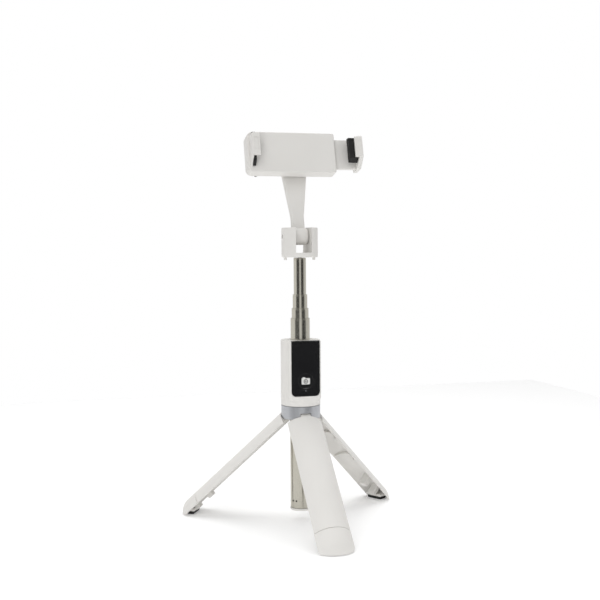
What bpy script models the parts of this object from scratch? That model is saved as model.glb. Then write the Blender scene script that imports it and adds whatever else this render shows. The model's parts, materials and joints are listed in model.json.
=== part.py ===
"""A pocket tripod selfie stick with a telescopic pole, a tilting head,
a spring phone clamp and a slide-out remote.

Sizes are in metres, +Z is up and the remote faces -Y. The model stands on
its three open legs, with the floor at z = 0. Each joint has an empty on its
axis, and the pieces that it moves are parented to that empty.
"""

import math

import bmesh
import bpy
from mathutils import Matrix, Vector

MM = 0.001

# ---------------------------------------------------------------- sizes

GAP = 0.3 * MM                      # clearance between neighbouring pieces

# Column: the fixed outer tube that the pole slides into.
COLUMN_RADIUS = 8.1 * MM
COLUMN_BOTTOM = 9.8 * MM            # its lower end above the floor
TUBE_WALL = 0.5 * MM
PLUG_LIP = 0.25 * MM                # the end plug stands out past the tube
PLUG_FLANGE = 1.6 * MM
PLUG_SPIGOT = 4.0 * MM
PLUG_WALL = 1.4 * MM
PLUG_CHAMFER = 0.4 * MM
DIMPLE_RADIUS = 0.7 * MM
DIMPLE_HEIGHT = 5.5 * MM
DIMPLE_TURNS = (-63, -43)           # degrees round from the front

# Leg hinges and the legs.
LEG_COUNT = 3
LEG_ANGLE = math.radians(47.0)      # open leg, measured from the folded leg
PIN_RADIUS = 1.0 * MM
EYE_RADIUS = 2.6 * MM
EYE_CLEARANCE = 0.5 * MM            # hinge eye to the column tube
TAB_RADIUS = 3.4 * MM
TAB_WIDTH = 7.8 * MM
TAB_WEB = 8.0 * MM
LEG_PROUD = 0.6 * MM                # legs stand this far out past the ring
LEG_WALL = 1.5 * MM
LEG_HALF_SECTOR = math.radians(59.4)
SEAM_DISTANCE = 95.0 * MM           # pivot to the joint line of the foot cap
FOOT_STRAIGHT = 10.0 * MM           # joint line to where the foot rounds in
DOME_RADIUS = 11.0 * MM
FOOT_CUT = 9.13 * MM                # height of the round foot that is cut flat
FOOT_WALL = 1.6 * MM
FOOT_LIFT = 0.4 * MM                # the foot shell stays this far off the floor
PAD_THICKNESS = 2.2 * MM
PAD_WIDTH = 13.0 * MM
PAD_DEPTH = 8.0 * MM
RIB_DISTANCES = (26.0 * MM, 55.0 * MM)
RIB_THICKNESS = 1.2 * MM
LUG_SPACING = 7.0 * MM              # each side of the foot's joint line
LUG_LENGTH = 4.5 * MM
LUG_WIDTH = 6.0 * MM
LUG_INNER_RADIUS = 4.2 * MM

# Hub: the metal ring over a moulded core.
RING_WALL = 0.7 * MM
RING_HEIGHT = 9.6 * MM
RING_BELOW_PIVOT = 1.2 * MM
NOTCH_HEADROOM = 0.6 * MM

# Telescopic pole: clearances, and how far each section stands out.
COLUMN_CLEARANCE = 0.4 * MM
SECTION_CLEARANCE = 0.35 * MM
SECTION_ROOM_ABOVE_PLUG = 1.5 * MM
SECTION_NEST_STEP = 1.0 * MM        # each folded section stands this much proud
SECTION_PROUD = (16.0 * MM, 7.4 * MM, 10.2 * MM, 27.6 * MM)
BUSH_FLANGE = 1.2 * MM
BUSH_SPIGOT = 2.4 * MM
BUSH_WALL = 1.2 * MM

# Remote: a board with its switch below a coin cell, in a shallow case.
REMOTE_THICKNESS = 4.0 * MM
REMOTE_CORNER = 3.2 * MM
REMOTE_TOP_CORNER = 0.8 * MM
REMOTE_WALL = 0.9 * MM
REMOTE_BACK_WALL = 0.5 * MM
REMOTE_TOP_ROOM = 5.1 * MM          # cell to the remote's upper end
FACE_THICKNESS = 1.2 * MM
BUTTON_RADIUS = 5.6 * MM
BUTTON_HEIGHT = 10.9 * MM           # above the remote's lower end
LIGHT_HEIGHT = 3.9 * MM
LIGHT_RADIUS = 0.6 * MM
BATTERY_RADIUS = 8.0 * MM
BATTERY_THICKNESS = 1.6 * MM
BATTERY_SIDE_ROOM = 1.7 * MM
BATTERY_TO_BOARD = 1.5 * MM
BOARD_THICKNESS = 0.6 * MM
BOARD_EDGE = 1.5 * MM               # the board reaches this far past the button
SWITCH_HEIGHT = 0.35 * MM
SWITCH_SIZE = 4.0 * MM

# Housing above the hub, with a squared front that takes the remote.
HOUSING_PROUD = 0.1 * MM            # the housing stands out past the ring
HOUSING_CHIN = 7.9 * MM             # the housing below the remote
FRONT_START = 4.6 * MM              # squared front begins this far up
FRONT_CORNER = 2.2 * MM
POCKET_RIM = 0.4 * MM               # the pocket's edge stands proud of the remote
POCKET_WALL = 0.8 * MM              # between the remote's pocket and the collar
POCKET_SIDE_WALL = 1.3 * MM
COLLAR_HEIGHT = 2.7 * MM
COLLAR_WALL = 1.6 * MM
HOUSING_WALL = 1.6 * MM
HOUSING_ROOF = 8.0 * MM             # solid top of the housing above its hollow

# Head: yoke on the pole, tilt pin, arm.
YOKE_RADIUS = 13.5 * MM
YOKE_HEIGHT = 22.0 * MM
YOKE_FLOOR = 3.3 * MM
TILT_BELOW_TOP = 6.5 * MM           # tilt pin below the top of the yoke
NUB_RADIUS = 1.1 * MM
NUB_LENGTH = 2.0 * MM
NUB_INSET = 2.5 * MM
HEAD_PLUG_LENGTH = 9.0 * MM
HEAD_SCREW_RADIUS = 1.5 * MM
HEAD_SCREW_HEAD = 3.0 * MM
HEAD_SCREW_SINK = 1.4 * MM
HEAD_SCREW_DEPTH = 6.0 * MM
KNUCKLE_RADIUS = 6.3 * MM
KNUCKLE_WIDTH = 9.6 * MM
TILT_PIN_RADIUS = 1.8 * MM
TILT_PIN_INSET = 0.8 * MM
WASHER_THICKNESS = 0.6 * MM
WASHER_INSET = 1.2 * MM
HEAD_LEAN = math.radians(15.0)      # the arm leans back this far
ARM_LENGTH = 61.0 * MM              # tilt pin to clamp swivel
ARM_THICKNESS = 4.8 * MM
ARM_FRONT = 0.4 * MM                # the arm's front face behind the tilt axis
ARM_BOSS_RADIUS = 11.0 * MM
SWIVEL_RADIUS = 2.0 * MM
SWIVEL_HEAD_RADIUS = 4.0 * MM
SWIVEL_HEAD_HEIGHT = 1.7 * MM

# Clamp: x across the phone, z along it, forward is -Y.
OPENING = 71.3 * MM                 # between the pads as stored
TRAVEL_IN = 15.3 * MM
TRAVEL_OUT = 13.7 * MM
BACK_PLATE_THICKNESS = 1.5 * MM
BACK_PLATE_INSET = 1.0 * MM
FRONT_WALL = 2.8 * MM
RIM_WALL = 3.5 * MM
END_WALL = 1.5 * MM
JAW_WALL = 3.0 * MM
JAW_INSET = 0.2 * MM                # the side walls stand just inside the body
PHONE_ROOM = 6.0 * MM               # between the body and the jaw lips
LIP_THICKNESS = 2.3 * MM
LIP_BOTTOM = -5.5 * MM
LIP_TOP = 11.5 * MM
LIP_HOLD = 2.7 * MM                 # the fixed lip reaches past its pad
FIXED_PAD_THICKNESS = 2.2 * MM
MOVING_PAD_DEPTH = 7.0 * MM
MOVING_LIP_INSET = 3.2 * MM         # lip edge inward of the jaw wall
SLIDER_THICKNESS = 3.0 * MM
SLIDER_WEB = 2.7 * MM
SLIDER_END_ROOM = 0.7 * MM          # left at the pocket's end when closed
CLOSED_ROOM = 1.3 * MM              # jaw wall to body when closed
BOSS_RADIUS = 4.3 * MM
GUIDE_LENGTH = 3.7 * MM
ROD_RADIUS = 0.9 * MM
SPRING_RADIUS = 1.6 * MM
SPRING_WIRE = 0.3 * MM
SPRING_TURNS = 7
SPRING_ROOM = 0.4 * MM              # spring to slider
SPRING_BACK_ROOM = 0.8 * MM
HEEL_EDGE = 0.7 * MM
HEEL_TO_BOSS = 2.0 * MM
CLAMP_SCREW_RADIUS = 0.7 * MM
CLAMP_SCREW_HEAD = 1.6 * MM
CLAMP_SCREW_LENGTH = 7.0 * MM
CLAMP_SCREW_INSETS = (8.0 * MM, 7.5 * MM)     # from the left and the right end

# ------------------------------------------------- sizes that follow

LEG_SPREAD = 2 * math.pi / LEG_COUNT
PIVOT_RADIUS = COLUMN_RADIUS + EYE_CLEARANCE + EYE_RADIUS
RING_RADIUS = PIVOT_RADIUS + TAB_RADIUS
LEG_RADIUS = RING_RADIUS + LEG_PROUD
HOUSING_RADIUS = RING_RADIUS + HOUSING_PROUD
BORE_RADIUS = COLUMN_RADIUS + GAP
CORE_RADIUS = RING_RADIUS - RING_WALL - GAP
NOTCH_WIDTH = TAB_WIDTH + 2 * GAP
DOME_START = SEAM_DISTANCE + FOOT_STRAIGHT
LUG_DISTANCES = (SEAM_DISTANCE - LUG_SPACING, SEAM_DISTANCE + LUG_SPACING)
PIVOT_HEIGHT = (DOME_START * math.cos(LEG_ANGLE) + DOME_RADIUS - FOOT_CUT
                + (PIVOT_RADIUS + DOME_RADIUS - LEG_RADIUS) * math.sin(LEG_ANGLE))

FIRST_SECTION = COLUMN_RADIUS - TUBE_WALL - COLUMN_CLEARANCE
SECTION_STEP = TUBE_WALL + SECTION_CLEARANCE
SECTION_RADII = [FIRST_SECTION - i * SECTION_STEP for i in range(len(SECTION_PROUD))]

REMOTE_WIDTH = 2 * (BATTERY_RADIUS + BATTERY_SIDE_ROOM + REMOTE_WALL)
BOARD_TOP = BUTTON_HEIGHT + BUTTON_RADIUS + BOARD_EDGE
BATTERY_HEIGHT = BOARD_TOP + BATTERY_TO_BOARD + BATTERY_RADIUS
REMOTE_HEIGHT = BATTERY_HEIGHT + BATTERY_RADIUS + REMOTE_TOP_ROOM
COLLAR_BORE = FIRST_SECTION + GAP
COLLAR_RADIUS = COLLAR_BORE + COLLAR_WALL
REMOTE_BACK = COLLAR_RADIUS + POCKET_WALL + 2 * GAP
REMOTE_FRONT = REMOTE_BACK + REMOTE_THICKNESS
FRONT_DEPTH = REMOTE_FRONT + POCKET_RIM
FRONT_HALF_WIDTH = REMOTE_WIDTH / 2 + GAP + POCKET_SIDE_WALL
HOUSING_HEIGHT = REMOTE_HEIGHT + HOUSING_CHIN

RING_BOTTOM = PIVOT_HEIGHT - RING_BELOW_PIVOT
RING_TOP = RING_BOTTOM + RING_HEIGHT
NOTCH_TOP = PIVOT_HEIGHT + TAB_RADIUS + NOTCH_HEADROOM
HOUSING_BOTTOM = RING_TOP + GAP
HOUSING_TOP = HOUSING_BOTTOM + HOUSING_HEIGHT
COLUMN_TOP = HOUSING_TOP - COLLAR_HEIGHT - GAP
PLUG_TOP = COLUMN_BOTTOM + PLUG_SPIGOT
REMOTE_BOTTOM = HOUSING_TOP - REMOTE_HEIGHT
BUTTON_Z = REMOTE_BOTTOM + BUTTON_HEIGHT

YOKE_SLOT = KNUCKLE_WIDTH + 2 * (WASHER_THICKNESS + 2 * GAP)
TILT_HEIGHT = YOKE_HEIGHT - TILT_BELOW_TOP
ARM_BACK = ARM_FRONT + ARM_THICKNESS
BACK_PLATE_BACK = WASHER_THICKNESS + 2 * GAP - ARM_FRONT

FRAME_BACK = BACK_PLATE_BACK + BACK_PLATE_THICKNESS + GAP
ROD_DEPTH = FRAME_BACK + SPRING_BACK_ROOM + SPRING_RADIUS + SPRING_WIRE
SLIDER_BACK = ROD_DEPTH + SPRING_RADIUS + SPRING_WIRE + SPRING_ROOM
POCKET_FRONT = SLIDER_BACK + SLIDER_THICKNESS + GAP
BODY_FRONT = POCKET_FRONT + FRONT_WALL
JAW_REACH = BODY_FRONT + PHONE_ROOM + LIP_THICKNESS
HEEL_HALF = SPRING_RADIUS + 2 * SPRING_WIRE
ROD_OFFSET = BOSS_RADIUS + HEEL_TO_BOSS + HEEL_HALF
SLIDER_HALF_HEIGHT = ROD_OFFSET + HEEL_HALF + HEEL_EDGE
BODY_HALF_HEIGHT = SLIDER_HALF_HEIGHT + 2 * GAP + RIM_WALL
SLIDER_SLOT = BOSS_RADIUS + 2 * GAP
SLIDER_END = -(BOSS_RADIUS + GAP + TRAVEL_OUT + SLIDER_WEB)
BODY_LEFT = TRAVEL_IN + SLIDER_END_ROOM + END_WALL - SLIDER_END
FIXED_PAD_FACE = -BODY_LEFT + JAW_WALL + GAP + FIXED_PAD_THICKNESS
FIXED_LIP_EDGE = FIXED_PAD_FACE + LIP_HOLD
MOVING_PAD_FACE = FIXED_PAD_FACE + OPENING
MOVING_WALL = MOVING_PAD_FACE + MOVING_PAD_DEPTH + GAP
BODY_RIGHT = MOVING_WALL - TRAVEL_IN - CLOSED_ROOM


def arc(x, y, radius, start, end, steps):
    """Points on an arc, angles in degrees from +X."""
    points = []
    for i in range(steps + 1):
        angle = math.radians(start + (end - start) * i / steps)
        points.append((x + radius * math.cos(angle), y + radius * math.sin(angle)))
    return points


# ------------------------------------------------------- scene and looks

for old in list(bpy.data.objects):
    bpy.data.objects.remove(old, do_unlink=True)

PARTS = bpy.data.collections.new("selfie_stick")
TOOLS = bpy.data.collections.new("cutters")
for group in (PARTS, TOOLS):
    bpy.context.scene.collection.children.link(group)

FINISHES = {
    "white_plastic": ((0.80, 0.79, 0.76), 0.45, 0.0),
    "steel": ((0.56, 0.55, 0.51), 0.25, 1.0),
    "silver_metal": ((0.66, 0.67, 0.70), 0.35, 1.0),
    "black_gloss": ((0.012, 0.012, 0.013), 0.12, 0.0),
    "black_plastic": ((0.03, 0.03, 0.03), 0.5, 0.0),
    "rubber": ((0.025, 0.025, 0.025), 0.8, 0.0),
    "grey_plastic": ((0.45, 0.45, 0.45), 0.5, 0.0),
    "circuit_green": ((0.03, 0.16, 0.07), 0.5, 0.0),
    "light_lens": ((0.10, 0.10, 0.12), 0.2, 0.0),
}


def finish_for(name, finish):
    """A Principled material of its own for one piece."""
    colour, roughness, metallic = FINISHES[finish]
    material = bpy.data.materials.new(name)
    material.use_nodes = True
    shader = material.node_tree.nodes["Principled BSDF"]
    shader.inputs["Base Color"].default_value = (*colour, 1.0)
    shader.inputs["Roughness"].default_value = roughness
    shader.inputs["Metallic"].default_value = metallic
    return material


def joint_empty(name, location, parent=None, turn=(0.0, 0.0, 0.0)):
    """An empty on a joint's axis; its pieces are parented to it."""
    empty = bpy.data.objects.new(name, None)
    empty.empty_display_size = 10 * MM
    empty.location = location
    empty.rotation_euler = turn
    empty.parent = parent
    PARTS.objects.link(empty)
    return empty


# ------------------------------------------------------ modelling helpers


def raw(name, mesh):
    obj = bpy.data.objects.new(name, mesh)
    TOOLS.objects.link(obj)
    return obj


def bake(obj):
    """Turn an object's modifiers, or its curve, into a welded mesh."""
    bpy.context.view_layer.update()
    graph = bpy.context.evaluated_depsgraph_get()
    mesh = bpy.data.meshes.new_from_object(obj.evaluated_get(graph))
    work = bmesh.new()
    work.from_mesh(mesh)
    bmesh.ops.remove_doubles(work, verts=work.verts, dist=0.002 * MM)
    work.to_mesh(mesh)
    work.free()
    baked = raw(obj.name + "_shape", mesh)
    baked.matrix_world = obj.matrix_world
    bpy.data.objects.remove(obj, do_unlink=True)
    return baked


def move(obj, matrix):
    """Move a shape's mesh, so that the object stays at its origin."""
    obj.data.transform(matrix)
    return obj


def shift(obj, x=0.0, y=0.0, z=0.0):
    return move(obj, Matrix.Translation((x, y, z)))


def box(x_low, x_high, y_low, y_high, z_low, z_high):
    """A box between limits."""
    mesh = bpy.data.meshes.new("box")
    work = bmesh.new()
    bmesh.ops.create_cube(work, size=1.0)
    size = (x_high - x_low, y_high - y_low, z_high - z_low)
    centre = ((x_low + x_high) / 2, (y_low + y_high) / 2, (z_low + z_high) / 2)
    work.transform(Matrix.Translation(centre) @ Matrix.Diagonal((*size, 1.0)))
    work.to_mesh(mesh)
    work.free()
    return raw("box", mesh)


def rod(radius, start, end, segments=24):
    """A round rod from one point to another."""
    start = Vector(start)
    end = Vector(end)
    mesh = bpy.data.meshes.new("rod")
    work = bmesh.new()
    length = (end - start).length
    bmesh.ops.create_cone(work, cap_ends=True, cap_tris=False, segments=segments,
                          radius1=radius, radius2=radius, depth=length)
    aim = (end - start).to_track_quat("Z", "Y").to_matrix().to_4x4()
    work.transform(Matrix.Translation((start + end) / 2) @ aim)
    work.to_mesh(mesh)
    work.free()
    return raw("rod", mesh)


def turned(profile, segments=24, closed=True):
    """A profile of (radius, z) points, outer side downwards, turned round Z."""
    mesh = bpy.data.meshes.new("profile")
    count = len(profile)
    edges = [(i, i + 1) for i in range(count - 1)]
    if closed:
        edges.append((count - 1, 0))
    mesh.from_pydata([(r, 0.0, z) for r, z in profile], edges, [])
    obj = raw("turned", mesh)
    screw = obj.modifiers.new("turn", "SCREW")
    screw.steps = segments
    screw.render_steps = segments
    screw.use_merge_vertices = True
    screw.merge_threshold = 0.01 * MM
    return bake(obj)


def tube(radius, bore, bottom, top, segments=24):
    """A plain ring or tube."""
    return turned([(radius, top), (radius, bottom), (bore, bottom), (bore, top)], segments)


FRONTAL = Matrix.Rotation(math.pi / 2, 4, "X")                      # outline in x, z
SIDE = Matrix(((0, 0, 1, 0), (1, 0, 0, 0), (0, 1, 0, 0), (0, 0, 0, 1)))   # outline in y, z


def outline(loops, thickness, stand=None):
    """A flat outline with holes, given a thickness about its own plane."""
    curve = bpy.data.curves.new("outline", "CURVE")
    curve.dimensions = "2D"
    curve.fill_mode = "BOTH"
    curve.extrude = thickness / 2
    for loop in loops:
        spline = curve.splines.new("POLY")
        spline.points.add(len(loop) - 1)
        for point, (u, v) in zip(spline.points, loop):
            point.co = (u, v, 0.0, 1.0)
        spline.use_cyclic_u = True
    obj = bpy.data.objects.new("outline", curve)
    TOOLS.objects.link(obj)
    solid = bake(obj)
    if stand is not None:
        move(solid, stand)
    return solid


def rounded_rectangle(left, right, bottom, top, lower=0.0, upper=0.0, steps=4):
    """Corner radii may differ between the lower and the upper corners."""
    points = []
    corners = (
        (left + lower, bottom + lower, lower, 180, 270),
        (right - lower, bottom + lower, lower, 270, 360),
        (right - upper, top - upper, upper, 0, 90),
        (left + upper, top - upper, upper, 90, 180),
    )
    for x, y, radius, start, end in corners:
        if radius > 0:
            points.extend(arc(x, y, radius, start, end, steps))
        else:
            points.append((x, y))
    return points


def combine(obj, tool, operation):
    """Boolean one shape with another, which is used up."""
    change = obj.modifiers.new("combine", "BOOLEAN")
    change.operation = operation
    change.solver = "EXACT"
    change.object = tool
    tool.hide_render = True
    tool.display_type = "WIRE"
    result = bake(obj)
    bpy.data.objects.remove(tool, do_unlink=True)
    return result


def cut(obj, *tools):
    for tool in tools:
        obj = combine(obj, tool, "DIFFERENCE")
    return obj


def join(obj, *tools):
    for tool in tools:
        obj = combine(obj, tool, "UNION")
    return obj


def common(obj, tool):
    return combine(obj, tool, "INTERSECT")


def bevelled(obj, width, segments=2, sharp=40):
    edge = obj.modifiers.new("edges", "BEVEL")
    edge.width = width
    edge.segments = segments
    edge.limit_method = "ANGLE"
    edge.angle_limit = math.radians(sharp)
    return bake(obj)


def node(name, shape, parent, finish, mesh=None):
    """Give a shape its name, parent and finish, and put it with the parts."""
    data = mesh if mesh is not None else shape.data
    piece = bpy.data.objects.new(name, data)
    if mesh is None:
        bpy.data.objects.remove(shape, do_unlink=True)
        data.shade_smooth()
        data.set_sharp_from_angle(angle=math.radians(35))
        data.materials.clear()
        data.materials.append(finish_for(name, finish))
    piece.parent = parent
    PARTS.objects.link(piece)
    return piece


# ------------------------------------------------------------------ stand


def open_leg_frame():
    """From the upright stand, with its origin on a pivot, to a leg's own frame."""
    return Matrix.Rotation(LEG_ANGLE, 4, "X")


def dome_outline(inset, steps=5):
    """(radius, z) down the outside of the foot cap; z is from the pivot."""
    points = [(LEG_RADIUS - inset, -(SEAM_DISTANCE + GAP))]
    centre = LEG_RADIUS - DOME_RADIUS
    for x, z in arc(centre, -DOME_START, DOME_RADIUS - inset, 0, -84, steps):
        points.append((x, z))
    return points


def foot_extent(turn):
    """How far a foot reaches in a direction turned from its own leg's."""
    furthest = 0.0
    steps = 12
    for radius, z in dome_outline(0.0):
        for i in range(steps + 1):
            angle = LEG_HALF_SECTOR * i / steps
            out = radius * math.cos(angle) - PIVOT_RADIUS
            height = PIVOT_HEIGHT + out * math.sin(LEG_ANGLE) + z * math.cos(LEG_ANGLE)
            if height < FOOT_LIFT:
                continue
            reach = PIVOT_RADIUS + out * math.cos(LEG_ANGLE) - z * math.sin(LEG_ANGLE)
            extent = reach * math.cos(turn) + radius * math.sin(angle) * math.sin(turn)
            furthest = max(furthest, extent)
    return furthest


def build_column(parent):
    bore = COLUMN_RADIUS - TUBE_WALL
    shape = tube(COLUMN_RADIUS, bore, COLUMN_BOTTOM, COLUMN_TOP, 36)
    dimple = COLUMN_BOTTOM + DIMPLE_HEIGHT
    for turn in DIMPLE_TURNS:
        angle = math.radians(turn - 90)
        aim = Vector((math.cos(angle), math.sin(angle), 0))
        start = aim * (COLUMN_RADIUS + 2 * MM) + Vector((0, 0, dimple))
        end = aim * (bore - 2 * MM) + Vector((0, 0, dimple))
        shape = cut(shape, rod(DIMPLE_RADIUS, start, end, 10))
    node("column_tube", shape, parent, "steel")

    flange = COLUMN_RADIUS + PLUG_LIP
    spigot = bore - GAP
    low = COLUMN_BOTTOM - GAP
    bottom = low - PLUG_FLANGE
    hollow = spigot - PLUG_WALL
    profile = [(spigot, PLUG_TOP), (spigot, low), (flange, low),
               (flange, bottom + PLUG_CHAMFER), (flange - PLUG_CHAMFER, bottom),
               (0.0, bottom)]
    profile = [(0.0, low), (hollow, low), (hollow, PLUG_TOP)] + profile
    node("column_end_plug", turned(profile, 24, closed=False), parent, "white_plastic")


def around(shape, index):
    return move(shape, Matrix.Rotation(LEG_SPREAD * index, 4, "Z"))


def build_hub(parent):
    ring = tube(RING_RADIUS, RING_RADIUS - RING_WALL, RING_BOTTOM, RING_TOP, 48)
    core = tube(CORE_RADIUS, BORE_RADIUS, RING_BOTTOM, RING_TOP, 36)
    half = NOTCH_WIDTH / 2
    reach = RING_RADIUS + 5 * MM
    below = RING_BOTTOM - 5 * MM
    inner = BORE_RADIUS - 2 * MM
    pin_edge = PIVOT_RADIUS + PIN_RADIUS
    pin_half = math.sqrt(CORE_RADIUS ** 2 - pin_edge ** 2) - 0.1 * MM
    for i in range(LEG_COUNT):
        notch = box(-half, half, -reach, -(RING_RADIUS - 4 * MM), below, NOTCH_TOP)
        ring = cut(ring, around(notch, i))
        slot = box(-half, half, -reach, -inner, below, NOTCH_TOP)
        hole = rod(PIN_RADIUS + GAP / 2, (-reach, -PIVOT_RADIUS, PIVOT_HEIGHT),
                   (reach, -PIVOT_RADIUS, PIVOT_HEIGHT), 8)
        hole = common(hole, box(-pin_half - 2 * MM, pin_half + 2 * MM, -reach, 0,
                                below, NOTCH_TOP))
        core = cut(core, around(slot, i), around(hole, i))
        pin = rod(PIN_RADIUS, (-pin_half, -PIVOT_RADIUS, PIVOT_HEIGHT),
                  (pin_half, -PIVOT_RADIUS, PIVOT_HEIGHT), 8)
        node(f"leg_pin_{i + 1}", around(pin, i), parent, "steel")
    node("hub_ring", ring, parent, "silver_metal")
    node("hub_core", core, parent, "grey_plastic")


def build_housing(parent):
    shape = tube(HOUSING_RADIUS, BORE_RADIUS, HOUSING_BOTTOM, HOUSING_TOP, 48)
    front = rounded_rectangle(-FRONT_HALF_WIDTH, FRONT_HALF_WIDTH, -FRONT_DEPTH,
                              -BORE_RADIUS - 0.5 * MM, lower=FRONT_CORNER)
    front_height = HOUSING_HEIGHT - FRONT_START
    boss = outline([front], front_height)
    shift(boss, z=HOUSING_TOP - front_height / 2)
    shape = join(shape, boss)

    half = REMOTE_WIDTH / 2 + GAP
    pocket = rounded_rectangle(-half, half, REMOTE_BOTTOM - GAP, HOUSING_TOP + 5 * MM,
                               lower=REMOTE_CORNER + GAP)
    floor = REMOTE_BACK - GAP
    depth = 2 * REMOTE_THICKNESS + 2 * MM
    pocket = outline([pocket], depth, FRONTAL)
    shape = cut(shape, shift(pocket, y=-floor - depth / 2))

    seat = rod(COLLAR_RADIUS + GAP, (0, 0, COLUMN_TOP), (0, 0, HOUSING_TOP + MM), 36)
    shape = cut(shape, seat)

    inner = BORE_RADIUS + HOUSING_WALL
    outer = HOUSING_RADIUS - HOUSING_WALL
    hollow = arc(0, 0, outer, -10, 190, 14) + arc(0, 0, inner, 190, -10, 14)
    pocket_height = HOUSING_HEIGHT - HOUSING_ROOF
    hollow = outline([hollow], pocket_height + 2 * MM)
    shift(hollow, z=HOUSING_BOTTOM + pocket_height / 2 - MM)
    shape = cut(shape, hollow)
    node("housing_body", shape, parent, "white_plastic")

    collar = tube(COLLAR_RADIUS, COLLAR_BORE, COLUMN_TOP + GAP, HOUSING_TOP, 36)
    node("housing_collar", collar, parent, "white_plastic")


# ------------------------------------------------------------------- legs


def leg_channel():
    """One leg, upright as when folded, with its origin on the pivot."""
    axis = PIVOT_RADIUS
    half = math.degrees(LEG_HALF_SECTOR)
    top = RING_BOTTOM - GAP - PIVOT_HEIGHT
    bottom = -SEAM_DISTANCE
    outer = arc(0, axis, LEG_RADIUS, -90 - half, -90 + half, 12)
    inner = arc(0, axis, LEG_RADIUS - LEG_WALL, -90 + half, -90 - half, 12)
    shell = outline([outer + inner], top - bottom)
    shift(shell, z=(top + bottom) / 2)

    # The shoulders are scribed to the ring that they meet when the leg is open.
    ring = rod(RING_RADIUS + GAP, (0, axis, RING_BOTTOM - GAP - PIVOT_HEIGHT),
               (0, axis, RING_TOP - PIVOT_HEIGHT), 48)
    shell = cut(shell, move(ring, open_leg_frame()))

    overlap = LEG_WALL / 2
    for distance in RIB_DISTANCES:
        rib_outer = arc(0, axis, LEG_RADIUS - overlap, -90 - half + 4, -90 + half - 4, 8)
        rib_inner = arc(0, axis, BORE_RADIUS + GAP, -90 + half - 14, -90 - half + 14, 8)
        rib = outline([rib_outer + rib_inner], RIB_THICKNESS)
        shell = join(shell, shift(rib, z=-distance))
    shell = join(shell, lug(LUG_DISTANCES[0]))

    # Knuckle: a small eye inside, a bigger one outside that fills the notch.
    web = TAB_WEB
    profile = [(-TAB_RADIUS, -web), (-TAB_RADIUS, 0)]
    profile += arc(0, 0, TAB_RADIUS, 170, 85, 6)
    profile += arc(0, 0, EYE_RADIUS, 60, 0, 4)
    profile += [(EYE_RADIUS, -3 * MM), (-TAB_RADIUS + LEG_WALL, -web)]
    eye = arc(0, 0, PIN_RADIUS + GAP / 2, 0, 315, 7)
    knuckle = outline([profile, eye], TAB_WIDTH, SIDE)
    return join(shell, knuckle)


def lug(distance):
    """A locating lug that stands in past the edges of the channel."""
    half = LUG_WIDTH / 2
    axis = PIVOT_RADIUS
    outer = axis - LEG_RADIUS + LEG_WALL / 2
    return box(-half, half, outer, axis - LUG_INNER_RADIUS,
               -distance - LUG_LENGTH / 2, -distance + LUG_LENGTH / 2)


def wedge(half_sector, bottom, top, reach):
    """A pie slice about the pole axis, in a leg's frame."""
    half = math.degrees(half_sector)
    loop = [(0.0, PIVOT_RADIUS)] + arc(0, PIVOT_RADIUS, reach, -90 - half, -90 + half, 6)
    slice_solid = outline([loop], top - bottom)
    return shift(slice_solid, z=(top + bottom) / 2)


def floor_slab(low, high, near, far, half_width):
    """A box given on the open, standing leg, turned into the leg's frame."""
    slab = box(-half_width, half_width, PIVOT_RADIUS - far, PIVOT_RADIUS - near,
               low - PIVOT_HEIGHT, high - PIVOT_HEIGHT)
    return move(slab, open_leg_frame())


def dome_solid(inset):
    """The foot's round outside as a solid, in a leg's frame."""
    side = dome_outline(inset)
    profile = [(0.0, side[0][1])] + side + [(0.0, side[-1][1])]
    return shift(turned(profile, 36, closed=False), y=PIVOT_RADIUS)


def foot_cap():
    outside = dome_outline(0.0)
    inside = dome_outline(FOOT_WALL)
    shape = turned(outside + inside[::-1], 36)
    shift(shape, y=PIVOT_RADIUS)
    bottom = -(DOME_START + DOME_RADIUS + 5 * MM)
    shape = common(shape, wedge(LEG_HALF_SECTOR, bottom, 0, 2 * LEG_RADIUS))

    reach = foot_extent(0.0)
    seat_low = PAD_THICKNESS + GAP
    seat = floor_slab(seat_low, seat_low + FOOT_WALL, reach - PAD_DEPTH - 3 * MM,
                      reach + 5 * MM, PAD_WIDTH / 2 + MM)
    seat = common(seat, dome_solid(FOOT_WALL / 2))
    shape = join(shape, seat, lug(LUG_DISTANCES[1]))
    under = floor_slab(-40 * MM, FOOT_LIFT, reach - 60 * MM, reach + 60 * MM, 40 * MM)
    return cut(shape, under)


def foot_pad():
    reach = foot_extent(0.0)
    pad = floor_slab(0.0, PAD_THICKNESS, reach - PAD_DEPTH - 2 * MM, reach + 5 * MM,
                     PAD_WIDTH / 2)
    pad = common(pad, dome_solid(FOOT_WALL + GAP))
    return common(pad, wedge(LEG_HALF_SECTOR, -2 * DOME_START, 0, 2 * LEG_RADIUS))


def build_legs(stand):
    shapes = (
        ("leg_channel", leg_channel(), "white_plastic"),
        ("foot_cap", foot_cap(), "white_plastic"),
        ("foot_pad", foot_pad(), "rubber"),
    )
    meshes = {}
    for i in range(LEG_COUNT):
        turn = joint_empty(f"leg_place_{i + 1}", (0, 0, 0), stand, (0, 0, LEG_SPREAD * i))
        hinge = joint_empty(f"leg_hinge_{i + 1}", (0, -PIVOT_RADIUS, PIVOT_HEIGHT), turn,
                            (-LEG_ANGLE, 0, 0))
        for name, shape, finish in shapes:
            piece = node(f"{name}_{i + 1}", shape, hinge, finish, meshes.get(name))
            meshes[name] = piece.data


# ------------------------------------------------------------------- pole


def section_bush(radius, bottom):
    """Friction bush in a section's lower end."""
    spigot = radius - TUBE_WALL - GAP
    bore = spigot - BUSH_WALL
    return turned([(spigot, bottom + BUSH_SPIGOT), (spigot, bottom - GAP),
                   (radius, bottom - GAP), (radius, bottom - GAP - BUSH_FLANGE),
                   (bore, bottom - GAP - BUSH_FLANGE), (bore, bottom + BUSH_SPIGOT)], 16)


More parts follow.
